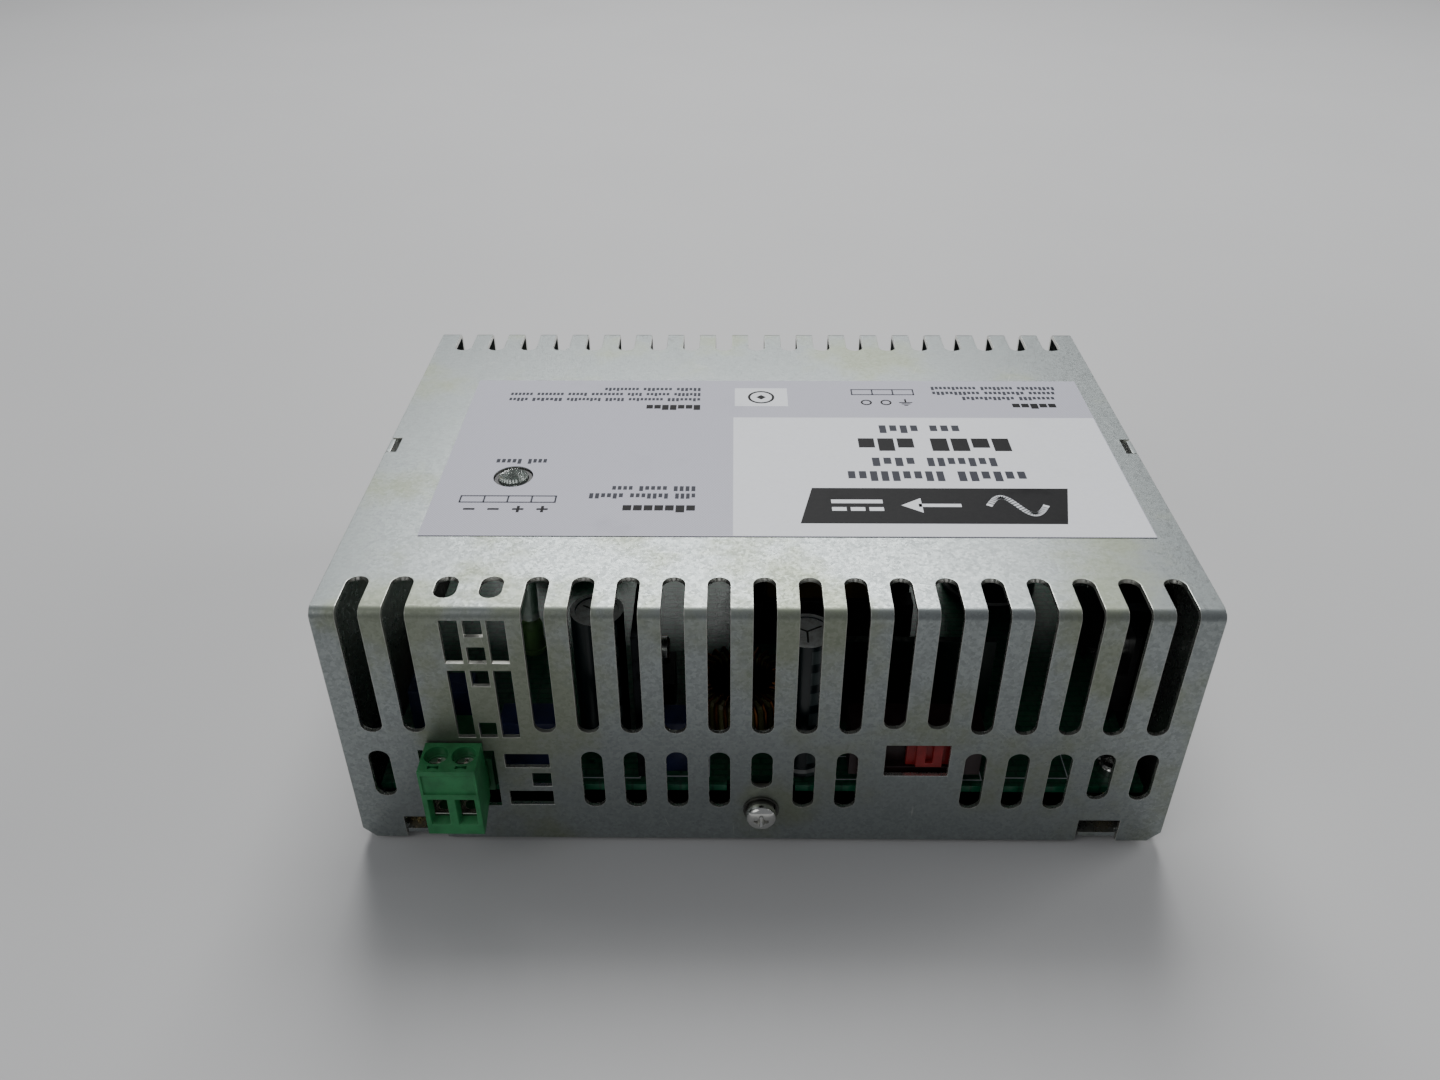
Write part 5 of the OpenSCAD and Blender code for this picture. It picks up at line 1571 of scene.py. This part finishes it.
@dataclass
class PowerParts:
    """The electronics that show through the slots.

    Attributes:
        wire: Radius of the inductor's wire.
        inductor_height: Height of the wound inductor.
        ring_bore: Radius of the bore of the inductor's ring.
        ring_corner: Corner cut of that ring.
        choke_wire: Radius of the choke's wire.
        choke_radii: Inner and outer radius of the choke's core.
        lead: Radius of the leads.
    """

    wire: float = 0.45
    inductor_height: float = 12.5
    ring_bore: float = 6.6
    ring_corner: float = 0.5
    choke_wire: float = 0.48
    choke_radii: Flat = (8.0, 14.0)
    lead: float = 0.4

    def build(self) -> None:
        """Build the wound, canned and boxed parts."""
        self._inductor()
        self._choke()
        self._cans("output_capacitors", TEAL_CAN, "teal_sleeve", 0.12)
        self._cans("bulk_capacitors", NAVY_CAN, "navy_sleeve", 0.2)
        self._fuse()
        rounded = (
            ("film_capacitors", BOX_BLUE_PAINTED_SHADE, "film_box", 0.5),
            ("x_capacitor", BOX_YELLOW, "yellow_case", 0.6),
            ("transformer_core", FERRITE, "ferrite", 0.4),
            ("transformer_bobbin", BLACK, "black_plastic", 0.25),
            ("transformer_winding", TAPE_YELLOW, "winding_tape", 0.9),
            ("bridge_rectifier", BLACK, "black_plastic", 0.12),
            ("y_capacitors", LACQUER_BLUE, "blue_case", 0.12),
            ("inrush_thermistor", LACQUER_GREEN_PAINTED_SHADE, "thermistor_green", 0.15),
            ("primary_heat_sink", SINK_PAINTED_SHADE, "heat_sink", 0.2),
            ("secondary_heat_sink", SINK_PAINTED_SHADE, "heat_sink", 0.2),
            ("power_semiconductors", BLACK, "black_plastic", 0.1),
            ("semiconductor_screws", SCREW_STEEL, "fastener_steel", 0.08),
            ("control_board", BOARD_PAINTED_SHADE, "board_green", 0.08),
            ("fuse_clips", BRASS, "brass", 0.1),
        )
        for node, finish, slot, width in rounded:
            softened(node, finish, "case", slot, width)

    def _inductor(self) -> None:
        """Wind the output inductor on its ring."""
        low, high = span_of("output_inductor")
        axis = middle("output_inductor")
        outer = (high.x - low.x) / 2
        base = high.z - self.inductor_height
        shape = Shape()
        wire, cut = self.wire, self.ring_corner
        r0, r1, z0, z1 = self.ring_bore, outer - 2 * wire - 0.05, base + 2 * wire, high.z - 2 * wire
        ring = [(r0, z0 + cut), (r0 + cut, z0), (r1 - cut, z0), (r1, z0 + cut), (r1, z1 - cut)]
        ring += [(r1 - cut, z1), (r0 + cut, z1), (r0, z1 - cut), (r0, z0 + cut)]
        shape.use(0).lathe(ring, (axis.x, axis.y, 0.0), 48)
        under = (axis.x, axis.y, base + wire)
        path = toroid_path(under, r0 - wire, outer - wire, z1 - z0 + 2 * wire, (95, 445), 30)
        shape.use(1).tube(path, wire, WIRE_SIDES)
        for x in (axis.x - 8, axis.x + 8):
            shape.tube([(x, axis.y, low.z), (x, axis.y, base + 1)], self.lead, WIRE_SIDES)
        wound = shape.make("wound_inductor", (OLIVE_CORE, COPPER))
        settle(wound, "case", "olive_winding", ("output_inductor",))

    def _choke(self) -> None:
        """Wind the two halves of the input choke."""
        softened("choke_core", FERRITE, "case", "ferrite", 0.6)
        low, high = span_of("choke_core")
        axis = middle("choke_core")
        shape = Shape()
        wire = self.choke_wire
        inner, outer = self.choke_radii
        under = (axis.x, axis.y, low.z - wire)
        for start in (20, 200):
            arc = (start, start + 140)
            path = toroid_path(under, inner - wire, outer + wire, high.z - low.z + 2 * wire, arc, 16)
            shape.tube(path, wire, WIRE_SIDES)
        bottom = span_of("choke_windings")[0].z
        for angle in (40, 140, 220, 320):
            middle_r = (inner + outer) / 2
            x = axis.x + middle_r * math.cos(math.radians(angle))
            y = axis.y + middle_r * math.sin(math.radians(angle))
            shape.tube([(x, y, bottom), (x, y, low.z)], wire, WIRE_SIDES)
        settle(shape.make("wound_choke", (COPPER,)), "case", "copper_wire", ("choke_windings",))

    def _cans(self, node: str, finish: Finish, slot: str, curl: float) -> None:
        """Turn capacitor cans with rolled rims and scored tops.

        Args:
            node: The node they stand for.
            finish: The finish of the cans.
            slot: Material slot of the record.
            curl: Radius of the rolled rim.
        """
        islands = bmesh.new()
        islands.from_mesh(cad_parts[node].data)
        bmesh.ops.remove_doubles(islands, verts=islands.verts, dist=WELD_DISTANCE)
        low, high = span_of(node)
        wide = [v.co / MM for v in islands.verts if v.co.z / MM > high.z - 0.05]
        islands.free()
        shape = Shape()
        lid = high.z - 0.3
        for x, y, radius in self._circles(wide):
            floor = low.z + 3.6
            profile = [(0.0, floor), (radius - 0.4, floor), (radius, floor + 0.4), (radius, floor + 1.3)]
            profile += [(radius - 0.5, floor + 1.8), (radius - 0.5, floor + 2.2), (radius, floor + 2.8)]
            profile += [(radius, high.z - curl), (radius - curl * 0.4, high.z - 0.04)]
            profile += [(radius - 0.9, high.z - 0.02), (radius - 1.0, lid), (0.0, lid)]
            shape.use(0).lathe(profile, (x, y, 0.0), 48)
            for turn in (30, 150, 270):
                tip = Vector((math.cos(math.radians(turn)), math.sin(math.radians(turn)))) * radius * 0.62
                stroke(shape.use(1), (x, y), (x + tip.x, y + tip.y), 0.35, lid - 0.01, lid + 0.03)
            for side in (-1, 1):
                lead = x + side * radius / 2
                shape.use(1).tube([(lead, y, low.z), (lead, y, floor + 0.2)], self.lead, WIRE_SIDES)
        settle(shape.make(node + "_turned", (finish, WASHER_STEEL)), "case", slot, (node,))

    @staticmethod
    def _circles(points: Sequence[Vector]) -> list[tuple[float, float, float]]:
        """Find the round rims that a set of points lies on.

        Args:
            points: Points at the rims' height.

        Returns:
            Middle and radius of each rim.
        """
        groups: list[list[Vector]] = []
        for point in points:
            near = [g for g in groups if any((point - other).xy.length < 4.0 for other in g)]
            merged = [point]
            for group in near:
                merged += group
                groups.remove(group)
            groups.append(merged)
        found = []
        for group in groups:
            xs, ys = [p.x for p in group], [p.y for p in group]
            found.append(((min(xs) + max(xs)) / 2, (min(ys) + max(ys)) / 2, (max(xs) - min(xs)) / 2))
        return sorted(found)

    def _fuse(self) -> None:
        """Build the fuse: glass tube, two caps and the wire inside."""
        low, high = span_of("fuse")
        axis = middle("fuse")
        turn = Matrix.Rotation(math.radians(90), 3, "Y")
        length = high.x - low.x
        start = (low.x, axis.y, axis.z)
        shape = Shape()
        cap_l, cap_r, glass_r = 5.0, 2.58, 2.38
        for near in (0.0, length - cap_l):
            far = near + cap_l
            cap = [(0.0, near), (2.2, near), (cap_r, near + 0.35), (cap_r, far - 0.3)]
            cap += [(2.42, far), (0.0, far)]
            shape.use(1).lathe(cap, start, 32, turn)
        inset = cap_l - 0.1
        glass = [(0.0, inset), (glass_r, inset), (glass_r, length - inset), (0.0, length - inset)]
        shape.use(0).lathe(glass, start, 32, turn)
        shape.use(1).tube([(low.x + inset, axis.y, axis.z), (high.x - inset, axis.y, axis.z)], 0.1, 6)
        settle(shape.make("glass_fuse", (FUSE_GLASS, TINNED)), "case", "fuse_glass", ("fuse",))


@dataclass
class Studio:
    """Floor, lights and camera.

    Attributes:
        spot: Place of the camera in metres.
        aim: Its turn in degrees.
        lens: Its focal length in millimetres.
        sensor: Width of its sensor in millimetres.
        target: What the lights point at, in metres.
    """

    spot: Point = (-0.0056, -0.2114, 0.1765)
    aim: Point = (55.48, 0.21, 0.64)
    lens: float = 28.79
    sensor: float = 36.0
    target: Point = (0.0, 0.0, 0.02)

    def build(self) -> None:
        """Set the floor, the lights, the sky and the camera."""
        self._floor()
        self._light("key", (-0.02, 0.85, 1.1), 0.8, 18.0)
        self._light("fill", (-0.7, -0.6, 0.7), 0.7, 1.8)
        self._light("rim", (0.9, 0.2, 0.5), 0.5, 3.0)
        world = bpy.data.worlds.new("soft_sky")
        world.use_nodes = True
        sky = world.node_tree.nodes["Background"]
        sky.inputs["Color"].default_value = (0.72, 0.74, 0.78, 1.0)
        sky.inputs["Strength"].default_value = 0.3
        bpy.context.scene.world = world
        camera = bpy.data.cameras.new("camera")
        camera.lens = self.lens
        camera.sensor_width = self.sensor
        camera.clip_start = 0.01
        viewer = bpy.data.objects.new("camera", camera)
        viewer.location = self.spot
        viewer.rotation_euler = Euler([math.radians(a) for a in self.aim])
        bpy.context.scene.collection.objects.link(viewer)
        bpy.context.scene.camera = viewer

    @staticmethod
    def _floor() -> None:
        """Lay the floor under the lowest point of the supply."""
        low = cad_box[0][2] / MM
        shape = Shape()
        half = 4000.0
        corners = [(-half, -half, low), (half, -half, low), (half, half, low), (-half, half, low)]
        shape.faces(corners, [(0, 1, 2, 3)])
        shape.make("floor", (FLOOR,))

    def _light(self, name: str, spot: Point, size: float, power: float) -> None:
        """Hang a soft square light.

        Args:
            name: The light's name.
            spot: Where it hangs, in metres.
            size: Side of its square, in metres.
            power: Its power in watts.
        """
        lamp = bpy.data.lights.new(name, "AREA")
        lamp.shape = "SQUARE"
        lamp.size = size
        lamp.energy = power
        hung = bpy.data.objects.new(name, lamp)
        hung.location = spot
        aim = Vector(self.target) - Vector(spot)
        hung.rotation_euler = aim.to_track_quat("-Z", "Y").to_euler()
        bpy.context.scene.collection.objects.link(hung)


def main() -> None:
    """Build the studio and every sub-assembly."""
    parts = (
        Studio(),
        Case(),
        StatusLight(),
        RailClip(),
        BoardSet(),
        Connector("output", 2),
        Connector("input", 3),
        Selector(),
        PowerParts(),
    )
    for part in parts:
        log.info("building %s", type(part).__name__)
        part.build()


if __name__ == "__main__":
    main()
